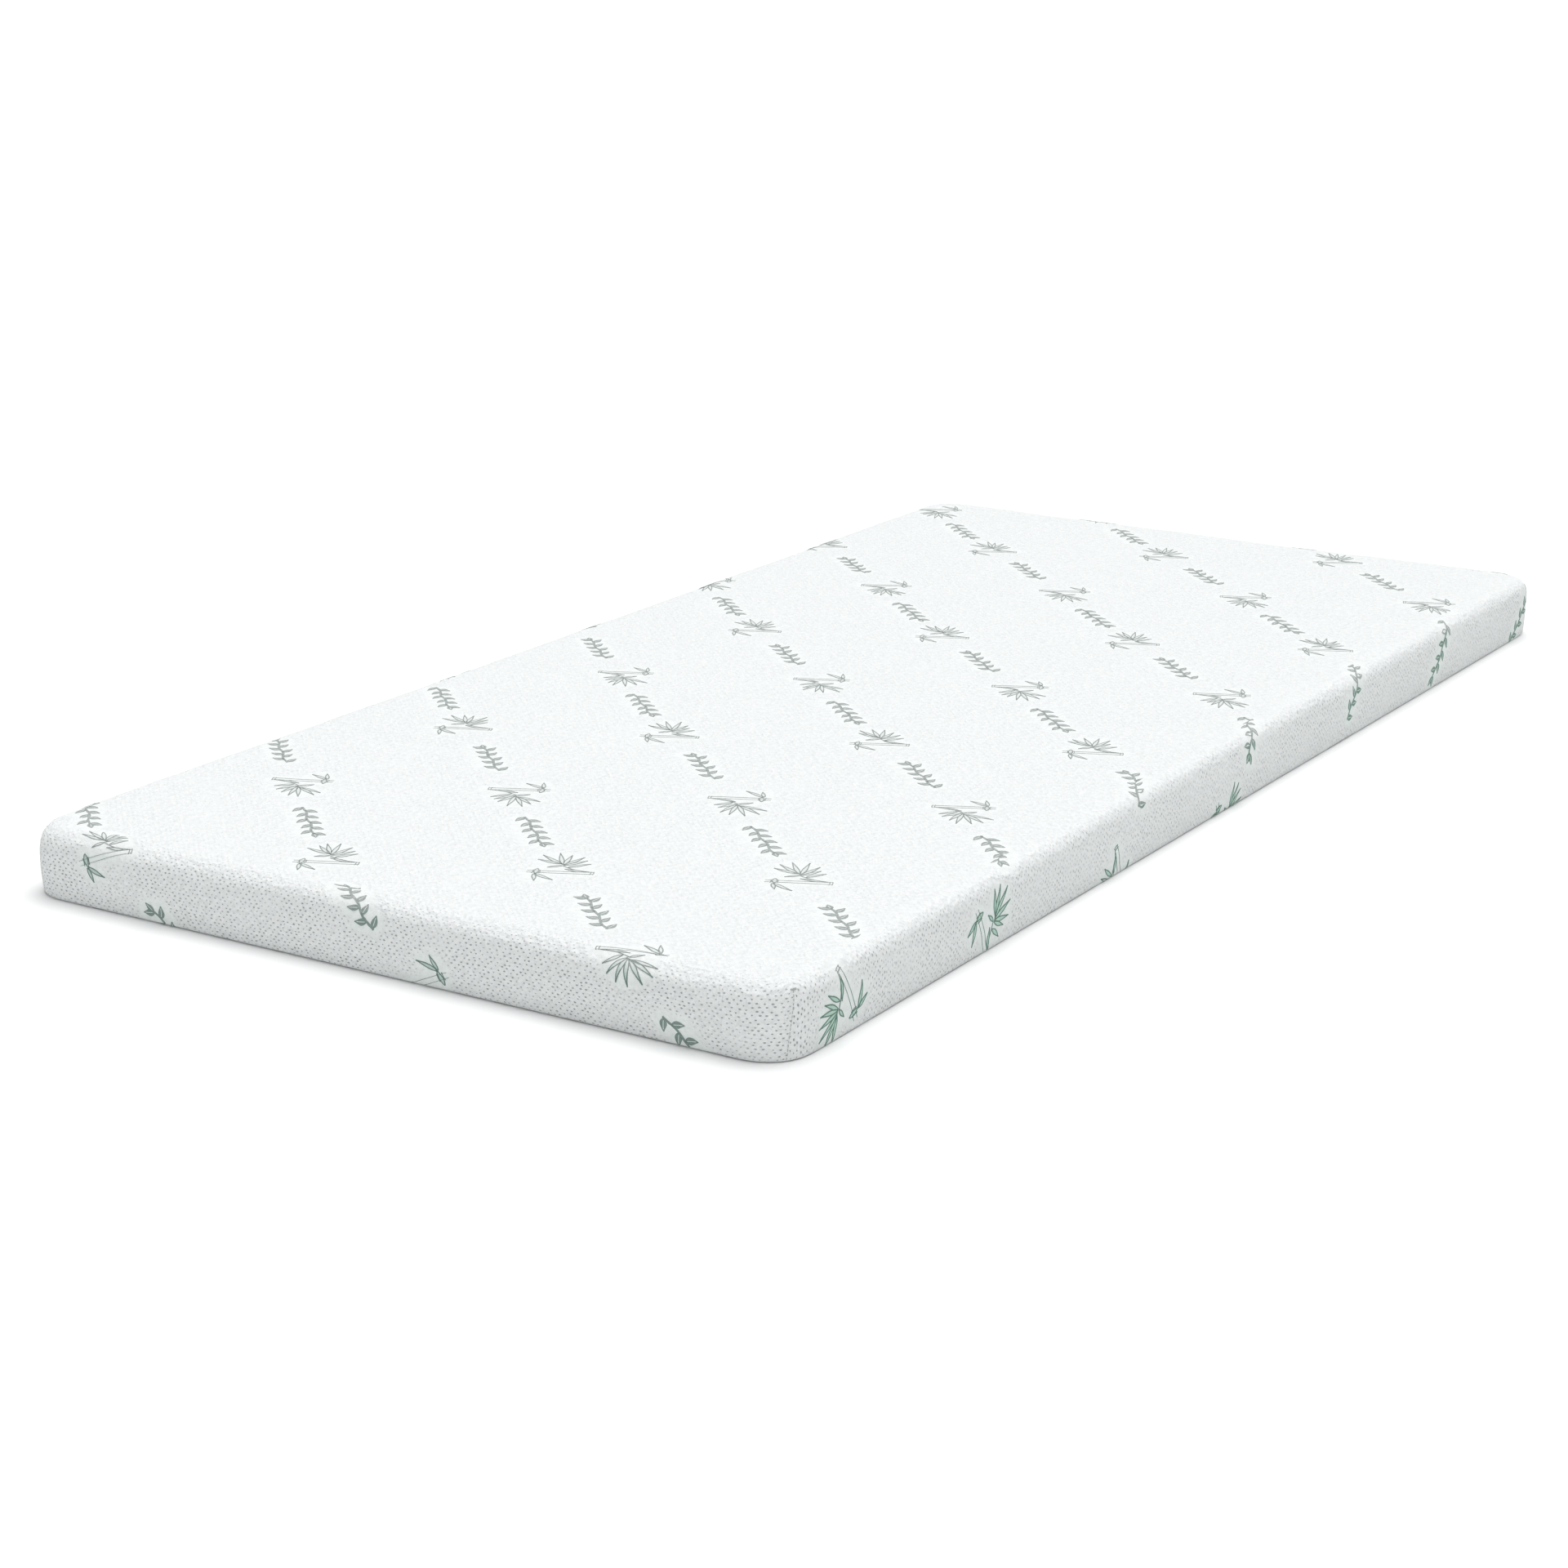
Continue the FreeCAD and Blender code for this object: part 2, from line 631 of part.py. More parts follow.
def make_pull():
    """A flat pull with a slot around the bail and a round crossbar on the hinge axis."""
    body = doc.addObject("PartDesign::Body", "pull")
    outline = sketch_on(body, "pull_outline", "XZ_Plane")
    rounded_rectangle(outline, "dims.pull_length", "dims.pull_width", "dims.pull_corner")
    bind(outline, AttachmentOffset__Base__x="-dims.pull_length / 2")
    plate = body.newObject("PartDesign::Pad", "pull_plate")
    plate.Profile = outline
    plate.SideType = "Symmetric"
    bind(plate, Length="dims.pull_thickness")
    bar = sketch_on(body, "pull_bar_section", "XY_Plane")
    bar_radius = dims.crossbar_radius
    bar.addGeometry(Part.Circle(Vector(0, 0, 0), Vector(0, 0, 1), bar_radius))
    bar.addConstraint(Sketcher.Constraint("Coincident", 0, 3, -1, 1))
    size = bar.addConstraint(Sketcher.Constraint("Radius", 0, bar_radius))
    bar.setExpression(f"Constraints[{size}]", "dims.crossbar_radius")
    slot = sketch_on(body, "pull_slot_outline", "XZ_Plane")
    rounded_rectangle(slot, "dims.pull_slot_length", "dims.pull_slot_width", "dims.crossbar_radius")
    bind(slot, AttachmentOffset__Base__x="-dims.pull_slot_length / 2")
    opening = body.newObject("PartDesign::Pocket", "pull_slot")
    opening.Profile = slot
    opening.SideType = "Symmetric"
    bind(opening, Length="4 * dims.pull_thickness")
    hole = sketch_on(body, "pull_hole_outline", "XZ_Plane")
    hole_place = dims.pull_length - dims.pull_hole_inset
    hole_radius = dims.pull_hole_radius
    hole.addGeometry(Part.Circle(Vector(-hole_place, 0, 0), Vector(0, 0, 1), hole_radius))
    hole.addConstraint(Sketcher.Constraint("PointOnObject", 0, 3, -1))
    inset = hole.addConstraint(Sketcher.Constraint("DistanceX", 0, 3, -1, 1, hole_place))
    radius = hole.addConstraint(Sketcher.Constraint("Radius", 0, hole_radius))
    hole.setExpression(f"Constraints[{inset}]", "dims.pull_length - dims.pull_hole_inset")
    hole.setExpression(f"Constraints[{radius}]", "dims.pull_hole_radius")
    piercing = body.newObject("PartDesign::Pocket", "pull_hole")
    piercing.Profile = hole
    piercing.SideType = "Symmetric"
    bind(piercing, Length="4 * dims.pull_thickness")
    crossbar = body.newObject("PartDesign::Pad", "pull_crossbar")
    crossbar.Profile = bar
    crossbar.SideType = "Symmetric"
    bind(crossbar, Length="dims.pull_width - 2 * dims.crossbar_radius")
    body.Tip = crossbar
    bind(
        body,
        Placement__Base__x="dims.slider_middle",
        Placement__Base__y=f"{WALL} + dims.pull_axis_out",
        Placement__Base__z="dims.zip_height",
    )
    node(body, "zip_pull")


def make_care_label():
    """A blank label sewn into the rear left corner seam, lying against the -X wall."""
    label = block(
        "label",
        "-dims.mattress_width / 2 - dims.label_thickness",
        "dims.mattress_length / 2 - dims.plan_radius - dims.label_length",
        "dims.label_foot",
        "dims.label_thickness",
        "dims.label_length",
        "dims.label_height",
    )
    node(label, "care_label")


make_cover()
make_base_panel()
make_seam_binding()
make_liner()
make_foam()
make_corner_seam("corner_seam_front_right", 1, -1, -45)
make_corner_seam("corner_seam_front_left", -1, -1, -135)
make_corner_seam("corner_seam_rear_left", -1, 1, 135)
make_corner_seam("corner_seam_rear_right", 1, 1, 45)
make_zip_tapes()
make_teeth("upper", 1, 0)
make_teeth("lower", -1, dims.tooth_pitch / 2)
make_stops()
make_stitch_row("upper", 1)
make_stitch_row("lower", -1)
make_slider()
make_bail()
make_pull()
make_care_label()
doc.recompute()

for item in doc.Objects:
    if "Invalid" in item.State or "Error" in item.State:
        raise RuntimeError(f"{item.Name} failed: {item.State}")
for item in NODES:
    if item.Shape.isNull() or not item.Shape.isValid():
        raise RuntimeError(f"{item.Label} has no valid shape")

os.makedirs("parts", exist_ok=True)
for item in NODES:
    item.Shape.exportStep(f"parts/{item.Label}.step")
    box = item.Shape.optimalBoundingBox()
    print(f"{item.Label}: {box.XLength:.1f} x {box.YLength:.1f} x {box.ZLength:.1f} mm")
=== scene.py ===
"""Looks of the memory foam mattress: knit cover, woven motifs, seams, zip, foam, light and camera.

Everything is in metres in the part's frame: X across the width, Y along the length with the zip at
the +Y end, Z up, origin at the centre of the base. The cover is worked out in the flat cloth's own
coordinates (u, v), which equal (x, y) on top and run on down the sides.
"""

import math
from itertools import groupby

import bmesh
import bpy
import numpy as np
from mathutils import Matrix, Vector, noise
from mathutils.bvhtree import BVHTree
from mathutils.kdtree import KDTree


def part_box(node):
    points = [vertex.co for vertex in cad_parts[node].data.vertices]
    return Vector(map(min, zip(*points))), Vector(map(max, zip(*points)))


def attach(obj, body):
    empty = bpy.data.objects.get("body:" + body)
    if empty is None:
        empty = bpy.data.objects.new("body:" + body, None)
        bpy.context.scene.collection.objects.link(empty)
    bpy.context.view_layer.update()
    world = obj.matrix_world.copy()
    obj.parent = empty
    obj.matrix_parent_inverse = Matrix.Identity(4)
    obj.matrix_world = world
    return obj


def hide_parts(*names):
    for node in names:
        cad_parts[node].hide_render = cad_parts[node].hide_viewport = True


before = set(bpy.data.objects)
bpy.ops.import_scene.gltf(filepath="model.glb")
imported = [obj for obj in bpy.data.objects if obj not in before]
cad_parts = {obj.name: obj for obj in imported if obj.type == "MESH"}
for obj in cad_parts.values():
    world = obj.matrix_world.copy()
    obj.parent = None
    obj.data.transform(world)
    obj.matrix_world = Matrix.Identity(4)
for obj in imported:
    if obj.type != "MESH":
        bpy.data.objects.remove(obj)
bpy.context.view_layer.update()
MATTRESS = "mattress"

# Driving sizes, from the frame's own boxes.
COVER_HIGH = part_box("cover_top")[1]
HALF_WIDTH = COVER_HIGH.x
HALF_LENGTH = COVER_HIGH.y
HEIGHT = COVER_HIGH.z
PLAN_RADIUS = 0.047
TOP_RADIUS = 0.023
BASE_RADIUS = 0.002
WRAP_UNDER = 0.020
CORNER_X = HALF_WIDTH - PLAN_RADIUS
CORNER_Y = HALF_LENGTH - PLAN_RADIUS
FLAT_RADIUS = PLAN_RADIUS - TOP_RADIUS
FLAT_X = HALF_WIDTH - TOP_RADIUS
FLAT_Y = HALF_LENGTH - TOP_RADIUS

# The profile runs from the edge of the flat top (0) over the edge, down the wall and under.
TOP_TURN = TOP_RADIUS * math.pi / 2
WALL_END = TOP_TURN + HEIGHT - TOP_RADIUS - BASE_RADIUS
BASE_TURN_END = WALL_END + BASE_RADIUS * math.pi / 2
PROFILE_END = BASE_TURN_END + WRAP_UNDER - BASE_RADIUS

# The zip's opening in the cover, at the +Y end, around the tapes.
ZIP_LOW, ZIP_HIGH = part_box("zip_tape_lower")[0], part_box("zip_tape_upper")[1]
ZIP_Z = (ZIP_LOW.z + ZIP_HIGH.z) / 2
ZIP_HALF_OPENING = 0.006
ZIP_HALF_LENGTH = ZIP_HIGH.x - 0.006

# The cover's grid: its cell, and its lines in a plan corner as parts of the flat radius.
CELL = 0.0175
BLOCK_STOPS_X = (0.34, 0.67)
BLOCK_STOPS_Y = (0.28, 0.52, 0.66, 0.73, 0.80, 0.90)

# A corner seam's angle round from the X side, at the top and the base, and its grid line's angle.
SEAM_TURN_TOP = math.radians(25)
SEAM_TURN_BASE = math.radians(37.5)
SEAM_GRID = BLOCK_STOPS_Y[3] * math.pi / 4

# The knit: colours, pin holes and relief, in metres.
KNIT = (0.855, 0.87, 0.868)
# Painted shade: the knit's walls below the top edge, darker than the top.
KNIT_WALL_SHADE = (0.812, 0.836, 0.827)
KNIT_PLAIN = (0.80, 0.86, 0.83)
KNIT_DRIFT = (0.84, 0.86, 0.855)
# Painted shade in the crepe's hollows.
KNIT_HOLLOW_SHADE = (0.66, 0.70, 0.695)
# Painted shade in the pin holes.
KNIT_HOLE_SHADE = (0.33, 0.37, 0.36)
HOLE_PITCH = 0.0072
HOLE_ROW = 0.0036
HOLE_WANDER = 0.42
HOLE_RADIUS = 0.00105
HOLE_STRETCH = 1.3
HOLE_FLATTEN = 1.35
CREPE = 0.0065
CREPE_RELIEF = 0.0018

# Motif yarns: the piece, its material, and colours on the top (paler there as painted glare), the
# ends and the long sides.
MOTIF_YARNS = (
    ("sprig_lines", "motif yarn", (0.25, 0.29, 0.275), (0.15, 0.22, 0.20), (0.085, 0.19, 0.145)),
    ("sprig_fills", "leaf knit", (0.70, 0.74, 0.72), (0.46, 0.57, 0.52), (0.42, 0.61, 0.51)),
    ("garland_lines", "garland yarn", (0.31, 0.35, 0.335), (0.20, 0.27, 0.245), (0.14, 0.25, 0.20)),
    ("garland_fills", "garland knit", (0.80, 0.84, 0.82), (0.72, 0.80, 0.76), (0.70, 0.80, 0.75)),
)

# Sewing, and the zip's coils.
SEAM_THREAD = 0.00042
ZIP_THREAD = 0.00024
STITCH_LENGTH = 0.0031
STITCH_PITCH = 0.0039
SEAM_TOP = 0.021
TACK_HALF = 0.0032
TACK_PITCH = 0.0006
COIL_PITCH = 0.002
COIL_WIRE = 0.00036

# How the padded cover departs from its plain rest shape.
COVER_THICKNESS = 0.0015
SETTLE_FRAMES = 22
SETTLE_GAP = 0.004
CORE_SETTINGS = {"thickness_outer": 0.001, "thickness_inner": 0.01, "cloth_friction": 5}
CLOTH_SETTINGS = {
    "quality": 4,
    "mass": 0.25,
    "tension_stiffness": 15,
    "compression_stiffness": 15,
    "shear_stiffness": 5,
    "bending_stiffness": 0.8,
    "shrink_min": -0.008,
}
MOVE_IN = 0.0012
MOVE_OUT = 0.0032
CROWN = 0.0016
BELLY = 0.0012
LUMP = 0.0011
SMALL_LUMP = 0.00035
TIGHT_EDGE = 0.0042
SEAM_DEPTH = 0.0021
SEAM_REACH = 0.0052
PUCKER = 0.00025

# Radii of the inner pieces: plan corners, top edge, base edge. Then their mesh.
MEMORY_FOAM_RADII = (0.043, 0.019, 0.0015)
SUPPORT_FOAM_RADII = (0.043, 0.0015, 0.008)
LINER_RADII = (0.0442, 0.0202, 0.0092)
PANEL_RADII = (0.0267, 0.0006, 0.0006)
EDGE_PARTS = (0.0, 0.04, 0.15, 0.32, 0.56, 0.8, 1.0)
SIDE_RINGS = 3

# The binding: its outer plan radius and mesh, and its section as (inset, bulge of each face).
BINDING_RADIUS = 0.034
BINDING_CORNER_STEPS = 8
BINDING_CELL = 0.02
BINDING_SECTION = ((0.0006, 0), (0.004, -0.00008), (0.010, -0.00008), (0.0134, 0))

# A zip tape's section from its inner edge, as parts of its width and its thickness.
TAPE_SECTION = ((0.0, 0.55), (0.03, 0.95), (0.07, 1.0), (0.12, 0.7), (0.5, 0.62), (1.0, 0.6))
TAPE_BACK = 0.04

# Steps along a tape and round one turn of a coil, and the sides of a round thread or wire.
TAPE_STEPS = 240
COIL_STEPS = 10
ROUND_SIDES = 6

# The care label's grid, its thickness, and how far it lifts off the cover and curls away.
LABEL_COLUMNS = 22
LABEL_ROWS = 14
LABEL_THICKNESS = 0.0003
LABEL_LIFT = 0.0007
LABEL_CURL = 0.0030


def profile(along):
    """Outward distance from the flat top's edge, and height, at a distance along the profile."""
    along = np.asarray(along, float)
    turn = np.clip(along / TOP_RADIUS, 0, math.pi / 2)
    out = TOP_RADIUS * np.sin(turn)
    height = HEIGHT - TOP_RADIUS * (1 - np.cos(turn))
    height = height - np.clip(along - TOP_TURN, 0, WALL_END - TOP_TURN)
    low_turn = np.clip((along - WALL_END) / BASE_RADIUS, 0, math.pi / 2)
    out = out - BASE_RADIUS * (1 - np.cos(low_turn))
    height = height - BASE_RADIUS * np.sin(low_turn)
    out = out - np.clip(along - BASE_TURN_END, 0, None)
    return out, height


def profile_normal(along):
    """Outward and upward parts of the surface normal at a distance along the profile."""
    along = np.asarray(along, float)
    turn = np.clip(along / TOP_RADIUS, 0, math.pi / 2)
    low_turn = np.clip((along - WALL_END) / BASE_RADIUS, 0, math.pi / 2)
    return np.sin(turn + low_turn), np.cos(turn + low_turn)


def wall_along(z):
    """Distance along the profile of a height on the wall, and the other way round."""
    return TOP_TURN + HEIGHT - TOP_RADIUS - z


def seam_turn(height):
    """Angle of a corner seam round from the X side; the seam leans over as it goes down."""
    down = np.clip(1 - np.asarray(height, float) / HEIGHT, 0, 1)
    return SEAM_TURN_TOP + (SEAM_TURN_BASE - SEAM_TURN_TOP) * down


def leaning(turn, height):
    """Angle round a corner of a grid line at a height, so that one line keeps to the seam."""
    seam = float(seam_turn(height))
    if turn <= SEAM_GRID:
        return turn * seam / SEAM_GRID
    return math.pi / 2 - (math.pi / 2 - turn) * (math.pi / 2 - seam) / (math.pi / 2 - SEAM_GRID)


def flat_to_surface(u, v):
    """Place flat cloth points on the cover: position, normal and whether the cloth is there."""
    u = np.asarray(u, float)
    v = np.asarray(v, float)
    a = np.abs(u) - CORNER_X
    b = np.abs(v) - CORNER_Y
    sign_x = np.where(u < 0, -1.0, 1.0)
    sign_y = np.where(v < 0, -1.0, 1.0)

    along_x = np.abs(u) - FLAT_X
    along_y = np.abs(v) - FLAT_Y
    out_x, z_x = profile(np.clip(along_x, 0, None))
    out_y, z_y = profile(np.clip(along_y, 0, None))
    radius_x = np.where(along_x > 0, FLAT_RADIUS + out_x, np.maximum(a, 0))
    radius_y = np.where(along_y > 0, FLAT_RADIUS + out_y, np.maximum(b, 0))
    angle_x = np.where(b > 0, np.maximum(b, 0) / np.maximum(radius_x, 1e-9), 0.0)
    angle_y = np.where(a > 0, np.maximum(a, 0) / np.maximum(radius_y, 1e-9), 0.0)
    use_x = angle_x <= seam_turn(z_x) + 1e-6
    angle = np.where(use_x, angle_x, math.pi / 2 - angle_y)
    radius = np.where(use_x, radius_x, radius_y)
    along = np.where(use_x, along_x, along_y)
    height = np.where(use_x, z_x, z_y)
    present = use_x | (angle_y <= math.pi / 2 - seam_turn(z_y) + 1e-6)
    present &= along <= PROFILE_END

    in_corner = (a > 0) & (b > 0)
    on_x_side = (a > 0) & (b <= 0)
    on_y_side = (b > 0) & (a <= 0)
    cos_angle = np.where(in_corner, np.cos(angle), np.where(on_y_side, 0.0, 1.0))
    sin_angle = np.where(in_corner, np.sin(angle), np.where(on_x_side, 0.0, 1.0))
    x = np.where(a > 0, sign_x * (CORNER_X + radius * cos_angle), u)
    y = np.where(b > 0, sign_y * (CORNER_Y + radius * sin_angle), v)
    outward, upward = profile_normal(np.clip(along, 0, None))
    outward = np.where(along > 0, outward, 0.0)
    upward = np.where(along > 0, upward, 1.0)
    height = np.where(along > 0, height, HEIGHT)
    normal = np.stack([sign_x * cos_angle * outward, sign_y * sin_angle * outward, upward], -1)
    place = np.stack([x, y, height], -1)
    present |= ~in_corner & (along <= PROFILE_END)
    return place, normal, present


def graded(stops, cell):
    """Grid lines through every stop, about a cell apart."""
    lines = [stops[0]]
    for start, end in zip(stops, stops[1:]):
        count = max(1, round((end - start) / cell))
        lines += [start + (end - start) * i / count for i in range(1, count + 1)]
    return lines


def cloth_grid():
    """Grid lines of the unrolled cover: x and y on the top, and distances down the profile.

    The outer cells of the top fan around the plan corners, and rings of cells run on from its rim.
    """
    right = [CORNER_X] + [CORNER_X + FLAT_RADIUS * part for part in BLOCK_STOPS_X] + [FLAT_X]
    rear = [CORNER_Y] + [CORNER_Y + FLAT_RADIUS * part for part in BLOCK_STOPS_Y] + [FLAT_Y]
    left = [-x for x in reversed(right)]
    front = [-y for y in reversed(rear)]
    xs = graded(left + [-ZIP_HALF_LENGTH, ZIP_HALF_LENGTH] + right, CELL)
    ys = graded(front + rear, CELL)
    zip_edges = (ZIP_Z + ZIP_HALF_OPENING, ZIP_Z - ZIP_HALF_OPENING)
    wall_stops = [0, TOP_TURN] + [wall_along(z) for z in zip_edges]
    rings = graded(wall_stops + [WALL_END, BASE_TURN_END, PROFILE_END], CELL / 2)
    return xs, ys, rings


def grid_cells(last_i, last_j):
    """The four corners of each cell of a grid."""
    for i in range(last_i):
        for j in range(last_j):
            yield (i, j), (i + 1, j), (i + 1, j + 1), (i, j + 1)


def rim_walk(last_i, last_j):
    """The points on a grid's rim, in order round it."""
    rim = [(i, 0) for i in range(last_i)]
    rim += [(last_i, j) for j in range(last_j)]
    rim += [(i, last_j) for i in range(last_i, 0, -1)]
    rim += [(0, j) for j in range(last_j, 0, -1)]
    return rim


def band(upper, lower):
    """Faces between two closed loops of vertices."""
    after = zip(upper[1:] + upper[:1], lower[1:] + lower[:1])
    return [(a, b, d, c) for a, b, (c, d) in zip(upper, lower, after)]


def tube_faces(rings, size, first=0, closed=False):
    """Faces along a tube of equal rings of vertices; a tube that isn't a loop gets two ends."""
    faces = []
    for ring in range(rings if closed else rings - 1):
        here = first + ring * size
        there = first + (ring + 1) % rings * size
        for side in range(size):
            after = (side + 1) % size
            faces.append((here + side, here + after, there + after, there + side))
    if not closed:
        last = first + (rings - 1) * size
        faces.append(tuple(range(first + size - 1, first - 1, -1)))
        faces.append(tuple(range(last, last + size)))
    return faces


def fan(x, y, corner_x=CORNER_X, corner_y=CORNER_Y):
    """Move a grid point in a corner block so that the block's rim is a quarter circle.

    Returns the plan position and, for a point in a block, its radius and angle from the X side.
    """
    a = abs(x) - corner_x
    b = abs(y) - corner_y
    if a <= 1e-9 or b <= 1e-9:
        return x, y, None, None
    radius = max(a, b)
    angle = math.pi / 4 * (b / a) if a >= b else math.pi / 2 - math.pi / 4 * (a / b)
    px = math.copysign(corner_x + radius * math.cos(angle), x)
    py = math.copysign(corner_y + radius * math.sin(angle), y)
    return px, py, radius, angle


def corner_flat(x, y, far, reach, angle, from_x):
    """Flat coordinates of a point round a corner, unrolled from the X or Y side of its seam."""
    if from_x:
        return math.copysign(CORNER_X + far, x), math.copysign(CORNER_Y + reach * angle, y)
    across = math.pi / 2 - angle
    return math.copysign(CORNER_X + reach * across, x), math.copysign(CORNER_Y + far, y)


def build_cover_mesh():
    """The outer face of the cover: vertices, faces, and the flat coordinates of face corners."""
    xs, ys, rings = cloth_grid()
    outs, heights = profile(rings)
    last_i, last_j = len(xs) - 1, len(ys) - 1
    grid = {(i, j): fan(x, y) for i, x in enumerate(xs) for j, y in enumerate(ys)}
    index = {spot: number for number, spot in enumerate(grid)}
    vertices = [(px, py, HEIGHT) for px, py, _, _ in grid.values()]
    faces = []
    flats = []
    for cell in grid_cells(last_i, last_j):
        i, j = cell[0]
        turn = fan((xs[i] + xs[i + 1]) / 2, (ys[j] + ys[j + 1]) / 2)[3]
        from_x = turn is None or turn < seam_turn(HEIGHT)
        faces.append([index[spot] for spot in cell])
        flats.append([])
        for spot in cell:
            px, py, radius, angle = grid[spot]
            in_corner = radius is not None
            flat = corner_flat(px, py, radius, radius, angle, from_x) if in_corner else (px, py)
            flats[-1].append(flat)

    rim = rim_walk(last_i, last_j)
    count = len(rim)
    turns = []
    for i, j in rim:
        straight = 0.0 if i in (0, last_i) else math.pi / 2
        turns.append(straight if grid[i, j][3] is None else grid[i, j][3])
    previous = [index[spot] for spot in rim]
    previous_turns = turns
    for ring in range(1, len(rings)):
        current = list(range(len(vertices), len(vertices) + count))
        current_turns = [leaning(turn, heights[ring]) for turn in turns]
        reach = FLAT_RADIUS + outs[ring]
        for spot, turn, now in zip(rim, turns, current_turns):
            px, py = grid[spot][:2]
            step_x = reach * math.cos(now) - FLAT_RADIUS * math.cos(turn)
            step_y = reach * math.sin(now) - FLAT_RADIUS * math.sin(turn)
            x = px + math.copysign(1, px) * step_x
            y = py + math.copysign(1, py) * step_y
            vertices.append((x, y, heights[ring]))
        for number, face in enumerate(band(previous, current)):
            following = (number + 1) % count
            if in_zip_opening((rim[number], rim[following]), xs, ys, rings, ring):
                continue
            from_x = (turns[number] + turns[following]) / 2 < SEAM_GRID
            faces.append(face)
            flats.append([])
            for spot, level, at in (
                (number, ring - 1, previous_turns),
                (number, ring, current_turns),
                (following, ring, current_turns),
                (following, ring - 1, previous_turns),
            ):
                flats[-1].append(
                    rim_flat(grid[rim[spot]], rings[level], outs[level], at[spot], from_x)
                )
        previous = current
        previous_turns = current_turns
    return vertices, faces, flats


def in_zip_opening(ends, xs, ys, rings, ring):
    """Whether the face between two rim points and above a ring lies in the zip's opening."""
    last_j = len(ys) - 1
    if ends[0][1] != last_j or ends[1][1] != last_j:
        return False
    middle_x = (xs[ends[0][0]] + xs[ends[1][0]]) / 2
    middle_z = wall_along((rings[ring - 1] + rings[ring]) / 2)
    return abs(middle_x) < ZIP_HALF_LENGTH and abs(middle_z - ZIP_Z) < ZIP_HALF_OPENING


def rim_flat(point, along, out, angle, from_x):
    """Flat coordinates of a point on a ring, seen from the X or the Y side of the seam."""
    px, py, radius = point[:3]
    if radius is not None:
        return corner_flat(px, py, FLAT_RADIUS + along, FLAT_RADIUS + out, angle, from_x)
    if from_x:
        return math.copysign(FLAT_X + along, px), py
    return px, math.copysign(FLAT_Y + along, py)


def new_mesh_object(name, vertices, faces, flats=None, smooth=True):
    """A mesh in the scene; flats are the flat cloth coordinates of its face corners."""
    mesh = bpy.data.meshes.new(name)
    mesh.from_pydata(vertices, [], faces)
    if flats is not None:
        layer = mesh.uv_layers.new(name="cloth")
        values = np.array([c for face in flats for c in face], np.float32)
        layer.data.foreach_set("uv", values.ravel())
    if smooth:
        mesh.polygons.foreach_set("use_smooth", [True] * len(mesh.polygons))
    mesh.update()
    piece = bpy.data.objects.new(name, mesh)
    bpy.context.scene.collection.objects.link(piece)
    return piece


def read(items, name, width, kind=np.float32):
    """One attribute of every vertex, edge or face corner, as an (n, width) array."""
    values = np.zeros(len(items) * width, kind)
    items.foreach_get(name, values)
    return values.reshape(-1, width)


def coordinates(piece):
    return read(piece.data.vertices, "co", 3).astype(float)


def vertex_normals(piece):
    return read(piece.data.vertices, "normal", 3).astype(float)


def set_coordinates(piece, places):
    piece.data.vertices.foreach_set("co", np.asarray(places, np.float32).ravel())
    piece.data.update()


def outward_normals(piece):
    """Turns the faces of a closed mesh outwards."""
    mesh = bmesh.new()
    mesh.from_mesh(piece.data)
    bmesh.ops.recalc_face_normals(mesh, faces=mesh.faces)
    mesh.to_mesh(piece.data)
    mesh.free()


class Tubes:
    """Collects closed tubes of any section, then makes them one piece."""

    def __init__(self):
        self.vertices = []
        self.faces = []

    def add_tube(self, points, size):
        """One tube, as its points ring by ring, with size points in a ring."""
        self.faces += tube_faces(len(points) // size, size, len(self.vertices))
        self.vertices += [tuple(point) for point in points]

    def piece(self, name, smooth=True):
        made = new_mesh_object(name, self.vertices, self.faces, smooth=smooth)
        outward_normals(made)
        return made


def round_ring(centre, aside, above, radius):
    """Points round a thread's centre."""
    turns = [2 * math.pi * side / ROUND_SIDES for side in range(ROUND_SIDES)]
    return [centre + radius * (math.cos(turn) * aside + math.sin(turn) * above) for turn in turns]


# ---- the padded cover ---------------------------------------------------------------------------


def smooth_step(value, low, high):
    part = np.clip((np.asarray(value, float) - low) / (high - low), 0, 1)
    return part * part * (3 - 2 * part)


def lumps(places, wavelength, offset):
    """Smooth seeded noise from -1 to 1 at each place."""
    shift = Vector(offset)
    return np.array([noise.noise(Vector(place) / wavelength + shift) for place in places])


def freedom(places):
    """How free the cloth is to move: 0 where it is sewn to the base or the zip, 1 elsewhere."""
    x, y, z = places.T
    free = smooth_step(z, 0.008, 0.024)
    beside = smooth_step(np.abs(z - ZIP_Z), 0.011, 0.024)
    beyond = smooth_step(np.abs(x), ZIP_HALF_LENGTH + 0.004, ZIP_HALF_LENGTH + 0.03)
    behind = y > HALF_LENGTH - 0.004
    return np.where(behind, free * np.maximum(beside, beyond), free)


def smoothed(values, piece, passes):
    """Averages a value at each vertex with its neighbours, a few times."""
    a, b = read(piece.data.edges, "vertices", 2, np.int32).T
    count = np.bincount(np.concatenate([a, b]), minlength=len(values))
    for _ in range(passes):
        total = np.bincount(a, values[b], len(values)) + np.bincount(b, values[a], len(values))
        values = 0.5 * values + 0.5 * total / np.maximum(count, 1)
    return values


